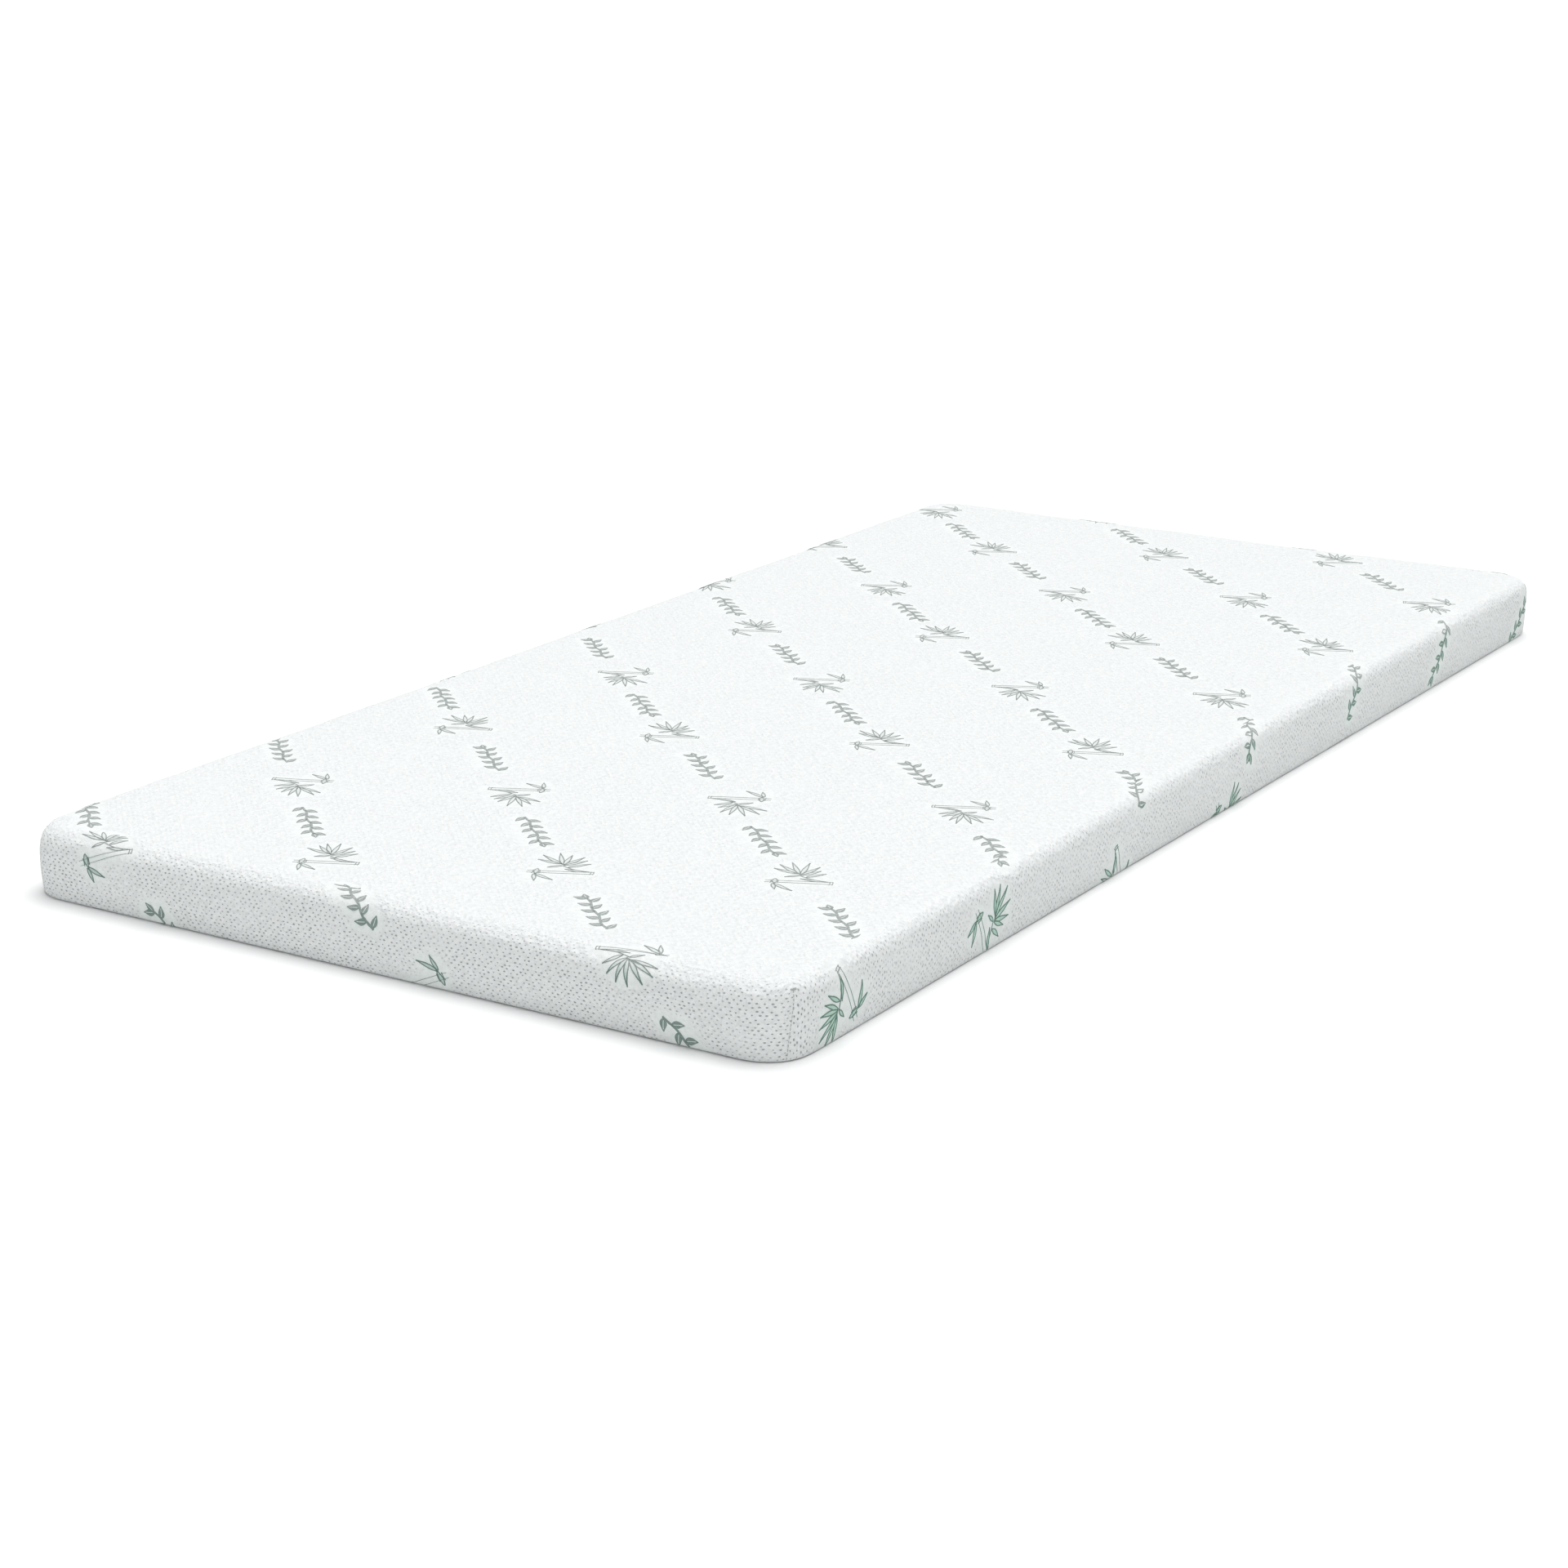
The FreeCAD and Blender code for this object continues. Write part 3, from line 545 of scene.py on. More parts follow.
def settle(piece, rest, normals):
    """Lets the slightly roomy knit settle on the foam; gives each point's outward movement."""
    faces = [list(face.vertices) for face in piece.data.polygons]
    core = new_mesh_object("settle_core", (rest - normals * SETTLE_GAP).tolist(), faces)
    core.modifiers.new("Collision", "COLLISION")
    for name, value in CORE_SETTINGS.items():
        setattr(core.collision, name, value)
    held = piece.vertex_groups.new(name="held")
    sewn = np.nonzero(freedom(rest) < 0.02)[0]
    held.add(sewn.tolist(), 1.0, "REPLACE")
    cloth = piece.modifiers.new("Cloth", "CLOTH")
    for name, value in CLOTH_SETTINGS.items():
        setattr(cloth.settings, name, value)
    cloth.settings.vertex_group_mass = "held"
    cloth.collision_settings.distance_min = 0.003
    cloth.point_cache.frame_start = 1
    cloth.point_cache.frame_end = SETTLE_FRAMES
    scene = bpy.context.scene
    for frame_number in range(1, SETTLE_FRAMES + 1):
        scene.frame_set(frame_number)
    graph = bpy.context.evaluated_depsgraph_get()
    settled = read(piece.evaluated_get(graph).data.vertices, "co", 3)
    piece.modifiers.remove(cloth)
    piece.vertex_groups.remove(held)
    bpy.data.objects.remove(core)
    scene.frame_set(1)
    moved = ((settled - rest) * normals).sum(1)
    return np.clip(moved, -2 * MOVE_IN, 2 * MOVE_OUT)


def seam_distance(places):
    """Distance round the corner to the nearest corner seam; 1 away from the corners."""
    a = np.abs(places[:, 0]) - CORNER_X
    b = np.abs(places[:, 1]) - CORNER_Y
    beside = (a > 0) & (b > 0)
    across = np.hypot(a, b) * np.abs(np.arctan2(b, a) - seam_turn(places[:, 2]))
    return np.where(beside, across, 1.0)


def shape_cover(piece):
    """Settles the cloth, then adds crown, belly, lumps, the fuller +X edge and seam grooves."""
    rest = coordinates(piece)
    normals = vertex_normals(piece)
    x, y, z = rest.T
    free = freedom(rest)
    on_wall = 1 - np.abs(normals[:, 2])
    over_edge = np.clip(1 - np.abs(np.abs(normals[:, 2]) - 0.5) * 1.6, 0, 1)
    move = settle(piece, rest, normals)
    move = smoothed(move, piece, 2)
    crown = (1 - (x / HALF_WIDTH) ** 4) * (1 - (y / HALF_LENGTH) ** 4)
    move += CROWN * np.clip(crown, 0, 1) * np.clip(normals[:, 2], 0, 1)
    move += BELLY * on_wall * np.sin(math.pi * np.clip(z / HEIGHT, 0, 1))
    move += LUMP * (0.3 + 0.7 * over_edge) * lumps(rest, 0.085, (3.1, 0.4, 7.7))
    move += SMALL_LUMP * (0.6 + on_wall) * lumps(rest, 0.036, (11.3, 5.2, 1.9))
    near_seam = 1 - smooth_step(seam_distance(rest), 0.0, 0.022)
    below_tack = 1 - smooth_step(z, HEIGHT - 0.009, HEIGHT - 0.002)
    move *= 1 - 0.75 * near_seam
    tight_edge = (2 * np.clip(normals[:, 0], 0, 1) * np.clip(normals[:, 2], 0, 1)) ** 2
    move = (np.clip(move, -MOVE_IN, MOVE_OUT) + TIGHT_EDGE * tight_edge) * free
    groove = 1 - smooth_step(seam_distance(rest), 0.0, SEAM_REACH)
    pucker = PUCKER * np.sin(z / 0.0022 + 2.0 * np.sin(z / 0.009)) * near_seam
    move += (pucker - SEAM_DEPTH * groove) * below_tack * smooth_step(z, 0.004, 0.012)
    set_coordinates(piece, rest + normals * move[:, None])


def apply_modifiers(piece):
    """Replaces a piece's mesh by what its modifiers make of it."""
    graph = bpy.context.evaluated_depsgraph_get()
    mesh = bpy.data.meshes.new_from_object(piece.evaluated_get(graph))
    piece.modifiers.clear()
    old = piece.data
    piece.data = mesh
    bpy.data.meshes.remove(old)


def thicken_and_smooth(piece, thickness):
    """Gives cloth its thickness inwards, then rounds it with one subdivision."""
    solid = piece.modifiers.new("Thickness", "SOLIDIFY")
    solid.thickness = thickness
    solid.offset = -1
    smooth = piece.modifiers.new("Smooth", "SUBSURF")
    smooth.levels = 1
    smooth.render_levels = 1
    smooth.uv_smooth = "PRESERVE_BOUNDARIES"
    apply_modifiers(piece)


# ---- placing things on the finished cover -------------------------------------------------------

LOWEST_ALONG = BASE_TURN_END - 0.3 * BASE_RADIUS
SEARCH = 0.012


def cover_tree(piece):
    """The finished cover as a tree that rays can be cast at."""
    faces = [tuple(face.vertices) for face in piece.data.polygons]
    return BVHTree.FromPolygons(coordinates(piece).tolist(), faces)


def on_cover(points):
    """Flat cloth points on the finished cover: places, outward normals, and which are there."""
    points = np.asarray(points, float)
    u, v = points.T
    place, normal, present = flat_to_surface(u, v)
    along = np.maximum(np.abs(u) - FLAT_X, np.abs(v) - FLAT_Y)
    present = present & (along < LOWEST_ALONG)
    in_zip = (v > FLAT_Y) & (np.abs(place[:, 2] - ZIP_Z) < ZIP_HALF_OPENING + 0.0012)
    present &= ~(in_zip & (np.abs(u) < ZIP_HALF_LENGTH + 0.001))
    for number in np.nonzero(present)[0]:
        direction = Vector(normal[number])
        start = Vector(place[number]) + direction * SEARCH
        hit = TREE.ray_cast(start, -direction, 2 * SEARCH)[0]
        if hit is not None:
            place[number] = hit
    return place, normal, present


class Strips(Tubes):
    """Collects closed strips of thread or filling that lie on the cover."""

    def add(self, left, right, rise):
        """One strip between two lines of flat points, cut where the cloth ends."""
        count = len(left)
        place, normal, present = on_cover(np.concatenate([left, right]))
        both = present[:count] & present[count:]
        for inside, run in groupby(range(count), key=lambda number: bool(both[number])):
            points = []
            for number in run:
                other = count + number
                lifts = ((number, rise), (other, rise), (other, -SINK), (number, -SINK))
                points += [place[index] + normal[index] * lift for index, lift in lifts]
            if inside and len(points) > 4:
                self.add_tube(points, 4)


# ---- the woven motifs ---------------------------------------------------------------------------
# A motif is drawn in millimetres on a page whose right is +v and whose top is -u, then repeated
# over the flat cloth on a slanted lattice, so it runs on over the edges and down the sides.

MM = 0.001
LINE_STEP = (-389.4, 353.0)
ROW_STEP = (212.9, 96.3)
ORNAMENT_AT = (196.7, -854.6)
SPRIG_TURNED_AT = (93.3, -769.8)
ORNAMENT_TURNED_AT = (0.0, -684.2)
SPRIG_AT = (-91.3, -585.0)
ORNAMENT_ANGLE = 46.7
MOTIF_REACH = 0.095

# Cloth taken up in going over an edge: the pattern down a wall sits that much higher, and at the
# front the knit is also pulled askew.
TAKE_UP_SIDE = 0.021
TAKE_UP_END = 0.027
FRONT_SKEW = 0.022

THREAD_RISE = 0.00032
FILL_RISE = 0.00018
SINK = 0.00025

# Half widths of a motif's lines on the page, how ragged they are, and how blunt a leaf's foot is.
RAGGED = 0.14
OUTLINE = 0.55
CANE = 0.2
NODE_BAR = 0.42
STEM = 1.25
RIB = 0.3
LEAF_FULLNESS = 0.75
STEM_WAVE = 1.2
STEM_WAVELENGTH = 6.5


class Motif:
    """One motif's place on the cloth, and the strips that its lines and fills go to."""

    def __init__(self, centre, angle, lines, fills, draws):
        self.centre = centre
        self.cos = math.cos(math.radians(angle))
        self.sin = math.sin(math.radians(angle))
        self.lines = lines
        self.fills = fills
        self.draws = draws
        self.marks = []

    def flat(self, page):
        """Page points in mm, as an (n, 2) array, to flat cloth points in metres."""
        x, y = np.asarray(page, float).T
        right = x * self.cos - y * self.sin
        up = x * self.sin + y * self.cos
        u = (self.centre[0] - up) * MM
        v = (self.centre[1] + right) * MM
        over_side = 1 - np.exp(-np.maximum(np.abs(u) - FLAT_X, 0) / TAKE_UP_SIDE)
        over_end = 1 - np.exp(-np.maximum(np.abs(v) - FLAT_Y, 0) / TAKE_UP_END)
        skew = np.where(v < 0, FRONT_SKEW * over_end, 0)
        u = u - np.sign(u) * TAKE_UP_SIDE * over_side - skew
        v = v - np.sign(v) * TAKE_UP_END * over_end
        return np.stack([u, v], -1)

    def line(self, page, half_width):
        """A line of thread along page points, a little ragged as knitted lines are."""
        page = np.asarray(page, float)
        ahead = np.gradient(page, axis=0)
        ahead /= np.linalg.norm(ahead, axis=1)[:, None] + 1e-9
        aside = np.stack([-ahead[:, 1], ahead[:, 0]], -1)
        width = half_width * (1 + RAGGED * self.draws.uniform(-1, 1, len(page)))
        page = page + aside * (half_width * RAGGED * self.draws.uniform(-1, 1, len(page)))[:, None]
        left = self.flat(page + aside * width[:, None])
        right = self.flat(page - aside * width[:, None])
        self.lines.add(left, right, THREAD_RISE)
        self.marks.extend(self.flat(page[::3]))

    def leaf(self, base, angle, length, width, bend, solid=False, steps=15):
        """A leaf between two edge lines: paler inside, or solid with a pale midrib."""
        part = np.linspace(0, 1, steps)
        heading = np.radians(angle + bend * (part - 0.3))
        step = length / (steps - 1)
        along = np.stack([np.cos(heading), np.sin(heading)], -1) * step
        axis = np.asarray(base, float) + np.concatenate([[[0, 0]], np.cumsum(along[:-1], axis=0)])
        aside = np.stack([-np.sin(heading), np.cos(heading)], -1)
        half = width / 2 * np.sin(math.pi * part**LEAF_FULLNESS)[:, None] ** 1.3
        left, right = axis + aside * half, axis - aside * half
        (self.lines if solid else self.fills).add(self.flat(left), self.flat(right), FILL_RISE)
        self.line(left, OUTLINE)
        self.line(right, OUTLINE)
        if solid:
            middle, across = axis[2:-2], aside[2:-2] * RIB
            rib = (self.flat(middle + across), self.flat(middle - across))
            self.fills.add(*rib, THREAD_RISE)

    def grow(self, base, angle, length, width, bend):
        """A leaf whose angle and length are a little off, as no two on the knit are alike."""
        angle = angle + self.draws.uniform(-5, 5)
        length = length * self.draws.uniform(0.9, 1.1)
        self.leaf(base, angle, length, width, bend)


def curve(start, end, sag, steps=12):
    """Page points from start to end, bowed sideways by sag."""
    start = np.asarray(start, float)
    end = np.asarray(end, float)
    part = np.linspace(0, 1, steps)[:, None]
    ahead = end - start
    aside = np.array([-ahead[1], ahead[0]]) / np.linalg.norm(ahead)
    return start + ahead * part + aside * sag * np.sin(math.pi * part)


def draw_sprig(motif):
    """A cane with a leaf pair at its node, and a branch that ends in a fan of leaves."""
    top = np.array([-7.0, 36.0])
    foot = np.array([21.0, -24.0])
    ahead = (foot - top) / np.linalg.norm(foot - top)
    aside = np.array([-ahead[1], ahead[0]])
    node = top + ahead * 57
    for side in (-1, 1):
        motif.line(curve(top + aside * side * 3.1, foot + aside * side * 2.8, 0, 20), CANE)
    for place in (0.5, 3.5, 53.5, 60.5):
        middle = top + ahead * place
        motif.line(curve(middle - aside * 4.4, middle + aside * 4.4, 0.5, 5), NODE_BAR)
    motif.grow(node - aside * 9, math.degrees(math.atan2(aside[1], aside[0])), 18, 4.8, 4)
    pair = node + aside * 6
    motif.grow(pair, 71, 27, 4.2, 10)
    motif.grow(pair + (1.5, -0.5), 37, 19, 3.8, -8)
    hub = np.array([-11.0, -4.0])
    motif.line(curve(top + (-1.5, -6), hub, 3.0), OUTLINE)
    motif.grow((-6.0, 25), -85, 23, 4.0, -8)
    motif.grow((-9.5, 4), 147, 22, 4.4, -10)
    motif.grow(hub, -45, 15, 3.8, 12)
    for number, length in enumerate((24, 29, 33, 35, 34, 31)):
        start = hub + (-1.5 - 0.5 * number, 1.0 - 0.9 * number)
        motif.grow(start, 151 + 23.5 * number, length, 4.4, 10 - 4.0 * number)


def draw_ornament(motif):
    """A garland: a waving stem with solid leaves to both sides in turn."""
    x = np.linspace(-49, 42, 42)
    motif.line(np.stack([x, STEM_WAVE * np.sin(x / STEM_WAVELENGTH)], -1), STEM)
    for number in range(10):
        side = 1 if number % 2 else -1
        base = -47.0 + 9.7 * number
        stem = (base, STEM_WAVE * math.sin(base / STEM_WAVELENGTH))
        motif.leaf(stem, side * 54, 14.5, 6.8, -side * 14, solid=True, steps=13)
    motif.leaf((41, 0.2), 3, 13, 6.2, -6, solid=True, steps=13)


def lattice_centres(base):
    """The places, in mm on the flat cloth, where a motif of the repeat is at least partly there."""
    reach_u = FLAT_X + PROFILE_END + MOTIF_REACH
    reach_v = FLAT_Y + PROFILE_END + MOTIF_REACH
    for i in range(-5, 6):
        for j in range(-10, 11):
            u = base[0] + i * LINE_STEP[0] + j * ROW_STEP[0]
            v = base[1] + i * LINE_STEP[1] + j * ROW_STEP[1]
            if abs(u) * MM < reach_u and abs(v) * MM < reach_v:
                yield u, v


def make_motifs():
    """All motifs as four pieces, and points along their lines in flat coordinates."""
    draws = np.random.default_rng(62)
    strips = {}
    marks = []
    for kind, draw, angle, places in (
        ("sprig", draw_sprig, 0, (SPRIG_AT, SPRIG_TURNED_AT)),
        ("garland", draw_ornament, ORNAMENT_ANGLE, (ORNAMENT_AT, ORNAMENT_TURNED_AT)),
    ):
        lines, fills = Strips(), Strips()
        strips[kind + "_lines"] = lines
        strips[kind + "_fills"] = fills
        for half_turn, base in enumerate(places):
            for centre in lattice_centres(base):
                motif = Motif(centre, angle + 180 * half_turn, lines, fills, draws)
                draw(motif)
                marks += motif.marks
    pieces = {}
    for name, strip in strips.items():
        piece = strip.piece(name, smooth=False)
        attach(piece, MATTRESS)
        pieces[name] = piece
    return pieces, np.array(marks)


def mark_patches(piece, marks):
    """Writes how near each point of the cover is to a motif, for the smooth knit around it."""
    tree = KDTree(len(marks))
    for number, (u, v) in enumerate(marks):
        tree.insert((u, v, 0), number)
    tree.balance()
    mesh = piece.data
    corners = read(mesh.loops, "vertex_index", 1, np.int32)[:, 0]
    flat = np.zeros((len(mesh.vertices), 2))
    flat[corners] = read(mesh.uv_layers["cloth"].data, "uv", 2)
    near = np.array([tree.find((u, v, 0))[2] for u, v in flat])
    patch = 1 - smooth_step(near, 0.006, 0.012)
    layer = mesh.attributes.new("patch", "FLOAT", "POINT")
    layer.data.foreach_set("value", patch.astype(np.float32))


# ---- materials ----------------------------------------------------------------------------------


class Graph:
    """A node material; sockets are given as values or as other nodes' outputs."""

    def __init__(self, name, roughness=0.8, **constants):
        self.material = bpy.data.materials.new(name)
        self.material.use_nodes = True
        self.nodes = self.material.node_tree.nodes
        self.links = self.material.node_tree.links
        self.shader = self.nodes["Principled BSDF"]
        self.shader.inputs["Roughness"].default_value = roughness
        for socket, value in constants.items():
            self.shader.inputs[socket.replace("_", " ")].default_value = value

    def feed(self, socket, value):
        if isinstance(value, bpy.types.NodeSocket):
            self.links.new(value, socket)
        else:
            socket.default_value = value

    def node(self, kind, inputs=None, output=0, **settings):
        made = self.nodes.new("ShaderNode" + kind)
        for name, value in settings.items():
            setattr(made, name, value)
        for where, value in (inputs or {}).items():
            self.feed(made.inputs[where], value)
        return made.outputs[output]

    def math(self, operation, *values):
        return self.node("Math", dict(enumerate(values)), operation=operation)

    def ramp(self, value, low, high, out_low=0.0, out_high=1.0):
        inputs = {0: value, 1: low, 2: high, 3: out_low, 4: out_high}
        return self.node("MapRange", inputs, interpolation_type="SMOOTHSTEP")

    def times(self, a, b):
        return self.math("MULTIPLY", a, b)

    def minus(self, a, b):
        return self.math("SUBTRACT", a, b)

    def mix(self, factor, a, b):
        """A colour between two, each an output or three numbers."""
        colours = [c if isinstance(c, bpy.types.NodeSocket) else (*c, 1.0) for c in (a, b)]
        inputs = {0: factor, 6: colours[0], 7: colours[1]}
        return self.node("Mix", inputs, 2, data_type="RGBA")

    def place(self):
        """Object coordinates, which are the part's own, in metres."""
        return self.node("TexCoord", output="Object")

    def noise(self, where, size, detail=2.0, roughness=0.5, dimensions="3D"):
        """Noise whose features are about size metres across."""
        inputs = {"Vector": where, "Scale": 1 / size, "Detail": detail, "Roughness": roughness}
        return self.node("TexNoise", inputs, noise_dimensions=dimensions)

    def split(self, vector):
        made = self.nodes.new("ShaderNodeSeparateXYZ")
        self.feed(made.inputs[0], vector)
        return made.outputs

    def bump(self, height, distance, strength):
        """Height from -1 to 1, times a distance in metres."""
        inputs = {"Height": height, "Distance": distance, "Strength": strength}
        self.feed(self.shader.inputs["Normal"], self.node("Bump", inputs))

    def colour(self, value):
        self.feed(self.shader.inputs["Base Color"], value)


def wall_part(graph):
    """0 on the cover's flat top, rising to 1 on its walls."""
    height = graph.split(graph.place())[2]
    return graph.ramp(height, HEIGHT - 0.006, HEIGHT - 0.020)


def pin_holes(graph, cloth):
    """Staggered rows of pin holes, each a little off its place.

    Gives the distance from a point to its hole's centre, as a part of the hole's radius.
    """
    across, down = graph.split(cloth)[:2]
    row_place = graph.math("DIVIDE", down, HOLE_ROW)
    row = graph.math("FLOOR", row_place)
    stagger = graph.times(graph.math("FLOORED_MODULO", row, 2.0), 0.5)
    column_place = graph.math("ADD", graph.math("DIVIDE", across, HOLE_PITCH), stagger)
    column = graph.math("FLOOR", column_place)
    cell = graph.node("CombineXYZ", {0: column, 1: row})
    draws = graph.node("TexWhiteNoise", {"Vector": cell}, 1, noise_dimensions="2D")
    draw_x, draw_y, draw_size = graph.split(draws)
    squares = []
    for place, first, draw, scale in (
        (column_place, column, draw_x, HOLE_PITCH / HOLE_STRETCH),
        (row_place, row, draw_y, HOLE_ROW * HOLE_FLATTEN),
    ):
        centred = graph.minus(graph.minus(place, first), 0.5)
        wander = graph.times(graph.minus(draw, 0.5), HOLE_WANDER)
        away = graph.times(graph.minus(centred, wander), scale)
        squares.append(graph.times(away, away))
    distance = graph.math("SQRT", graph.math("ADD", *squares))
    size = graph.math("MULTIPLY_ADD", draw_size, HOLE_RADIUS * 0.6, HOLE_RADIUS * 0.65)
    return graph.math("DIVIDE", distance, size)


def knit_material():
    """White jacquard knit: crepe relief, staggered pin holes, plain knit round each motif, and
    painted shade on the walls, in the hollows and in the holes.
    """
    graph = Graph("cover knit", 0.85, Sheen_Weight=0.12, Sheen_Roughness=0.6)
    graph.shader.inputs["Specular IOR Level"].default_value = 0.25
    cloth = graph.node("UVMap", uv_map="cloth")
    place = graph.place()
    wall = wall_part(graph)
    patch = graph.node("Attribute", attribute_name="patch", output=2)
    plain = graph.minus(1.0, patch)

    share = pin_holes(graph, cloth)
    strength = graph.noise(cloth, 0.05, 1.0, dimensions="2D")
    strength = graph.times(plain, graph.ramp(strength, 0.25, 0.6, 0.55, 1.0))
    # Each pin hole's disc, coloured below as painted shade in the hole.
    hole = graph.times(graph.ramp(share, 0.3, 1.2, 1.0, 0.0), strength)
    pit = graph.times(graph.minus(1.0, graph.math("MINIMUM", share, 1.0)), strength)

    # Crepe relief.
    crepe = graph.noise(cloth, CREPE, 3.0, 0.55, dimensions="2D")
    ridges = graph.node(
        "TexVoronoi",
        {"Vector": cloth, "Scale": 1 / (CREPE * 0.8), "Smoothness": 0.6},
        feature="SMOOTH_F1",
        voronoi_dimensions="2D",
    )
    grain = graph.noise(cloth, 0.0016, 1.0, dimensions="2D")
    relief = graph.math("MULTIPLY_ADD", ridges, 0.7, graph.times(crepe, 1.3))
    relief = graph.times(relief, graph.ramp(patch, 0.0, 1.0, 1.0, 0.35))
    relief = graph.math("MULTIPLY_ADD", grain, 0.18, relief)
    relief = graph.math("ADD", relief, graph.times(pit, graph.ramp(wall, 0.0, 1.0, -0.4, -1.0)))
    graph.bump(relief, CREPE_RELIEF, 0.8)

    # Colour: painted shade on the walls, in the crepe's hollows and in the pin holes, the holes'
    # shade faded on the top as painted glare; the plain knit a touch green.
    tint = graph.times(patch, graph.ramp(wall, 0.0, 1.0, 0.25, 0.75))
    height = graph.split(place)[2]
    # Painted shade: the knit turns darker on the walls below the top edge.
    wall_shade = graph.ramp(height, HEIGHT - 0.007, HEIGHT - 0.016)
    base = graph.mix(wall_shade, KNIT, KNIT_WALL_SHADE)
    base = graph.mix(tint, base, KNIT_PLAIN)
    drift = graph.noise(place, 0.16, 2.0)
    base = graph.mix(graph.ramp(drift, 0.3, 0.7, 0.0, 0.25), base, KNIT_DRIFT)
    # Painted shade: the crepe's hollows greyer.
    hollow_shade = graph.ramp(crepe, 0.58, 0.36, 0.0, 0.26)
    base = graph.mix(hollow_shade, base, KNIT_HOLLOW_SHADE)
    # Painted glare: the holes' painted shade faded to almost nothing on the bright top, strong on
    # the walls.
    glare_faded_holes = graph.ramp(height, HEIGHT - 0.0005, HEIGHT - 0.011, 0.08, 0.86)
    # Painted shade: the pin holes darkened.
    dark = graph.times(hole, glare_faded_holes)
    graph.colour(graph.mix(dark, base, KNIT_HOLE_SHADE))
    return graph.material


def thread_material(name, top_with_painted_glare, on_end, on_side):
    """Yarn of a motif: palest on the top face as painted glare, greener on the long sides than at
    the ends.
    """
    graph = Graph(name, 0.75, Sheen_Weight=0.15, Sheen_Roughness=0.5)
    place = graph.place()
    across = graph.math("ABSOLUTE", graph.split(place)[0])
    side = graph.ramp(across, HALF_WIDTH - 0.02, HALF_WIDTH - 0.004)
    wall = graph.mix(side, on_end, on_side)
    # Painted glare: the top face's colour paler than the walls'.
    base = graph.mix(wall_part(graph), top_with_painted_glare, wall)
    fleck = graph.noise(place, 0.0022, 2.0, 0.6)
    lighter = [min(1.0, part * 1.5 + 0.03) for part in on_end]
    lit = graph.mix(wall_part(graph), KNIT, lighter)
    graph.colour(graph.mix(graph.ramp(fleck, 0.42, 0.75, 0.0, 0.3), base, lit))
    graph.bump(graph.noise(place, 0.0012, 2.0), 0.0002, 0.6)
    return graph.material


def woven_material(name, colour, pitch, ribs=1.0, roughness=0.8):
    """Plain or ribbed weave: two crossed sets of yarn in object coordinates."""
    graph = Graph(name, roughness, Sheen_Weight=0.1, Sheen_Roughness=0.5)
    x, y, z = graph.split(graph.place())
    turn = 2 * math.pi / pitch
    along = graph.math("SINE", graph.times(x, turn))
    down = graph.math("SINE", graph.times(graph.math("ADD", y, z), turn * ribs))
    weave = graph.times(along, down)
    fleck = graph.noise(graph.place(), pitch * 1.7, 2.0)
    height = graph.math("MULTIPLY_ADD", fleck, 0.8, weave)
    dark = tuple(part * 0.82 for part in colour)
    shade = graph.ramp(height, -0.6, 1.4, 0.75, 0.0)
    graph.colour(graph.mix(shade, colour, dark))
    graph.bump(height, pitch * 0.12, 0.7)
    return graph.material


def foam_material(name, colour, cell):
    """Open-cell foam: pores of two sizes, darkened as painted shade, and a slight drift of colour.
    """
    graph = Graph(name, 0.9)
    place = graph.place()
    pores = graph.node("TexVoronoi", {"Vector": place, "Scale": 1 / cell}, feature="F1")
    fine = graph.noise(place, cell * 0.6, 3.0)
    height = graph.math("MULTIPLY_ADD", fine, 0.5, pores)
    drift = graph.noise(place, 0.09, 2.0)
    dark = tuple(part * 0.86 for part in colour)
    base = graph.mix(graph.ramp(drift, 0.3, 0.7, 0.0, 0.5), colour, dark)
    # Painted shade: each pore darker towards its middle.
    graph.colour(graph.mix(graph.ramp(pores, 0.0, 0.35, 0.35, 0.0), base, dark))
    graph.bump(height, cell * 0.25, 0.6)
    return graph.material


def nylon_material():
    """Slightly glossy white nylon wire."""
    graph = Graph("zip nylon", 0.42, Coat_Weight=0.1)
    streak = graph.noise(graph.place(), 0.004, 3.0)
    white = (0.80, 0.81, 0.80)
    graph.colour(graph.mix(graph.ramp(streak, 0.35, 0.7, 0.0, 0.5), white, (0.68, 0.7, 0.69)))
    graph.feed(graph.shader.inputs["Roughness"], graph.ramp(streak, 0.3, 0.7, 0.35, 0.5))
    graph.bump(graph.noise(graph.place(), 0.0009, 2.0), 0.00008, 0.5)
    return graph.material


def metal_material():
    """Nickel-plated zinc with fine handling wear."""
    graph = Graph("zip metal", 0.3, Metallic=1.0)
    place = graph.place()
    wear = graph.noise(place, 0.006, 4.0, 0.6)
    drawn_out = graph.node("Mapping", {0: place, 3: (260.0, 2600.0, 2600.0)})
    scratch = graph.noise(drawn_out, 1.0)
    bright, dull = (0.72, 0.72, 0.70), (0.52, 0.52, 0.51)
    graph.colour(graph.mix(graph.ramp(wear, 0.35, 0.7), bright, dull))
    graph.feed(graph.shader.inputs["Roughness"], graph.ramp(wear, 0.3, 0.75, 0.22, 0.42))
    graph.bump(scratch, 0.00003, 0.5)
    return graph.material


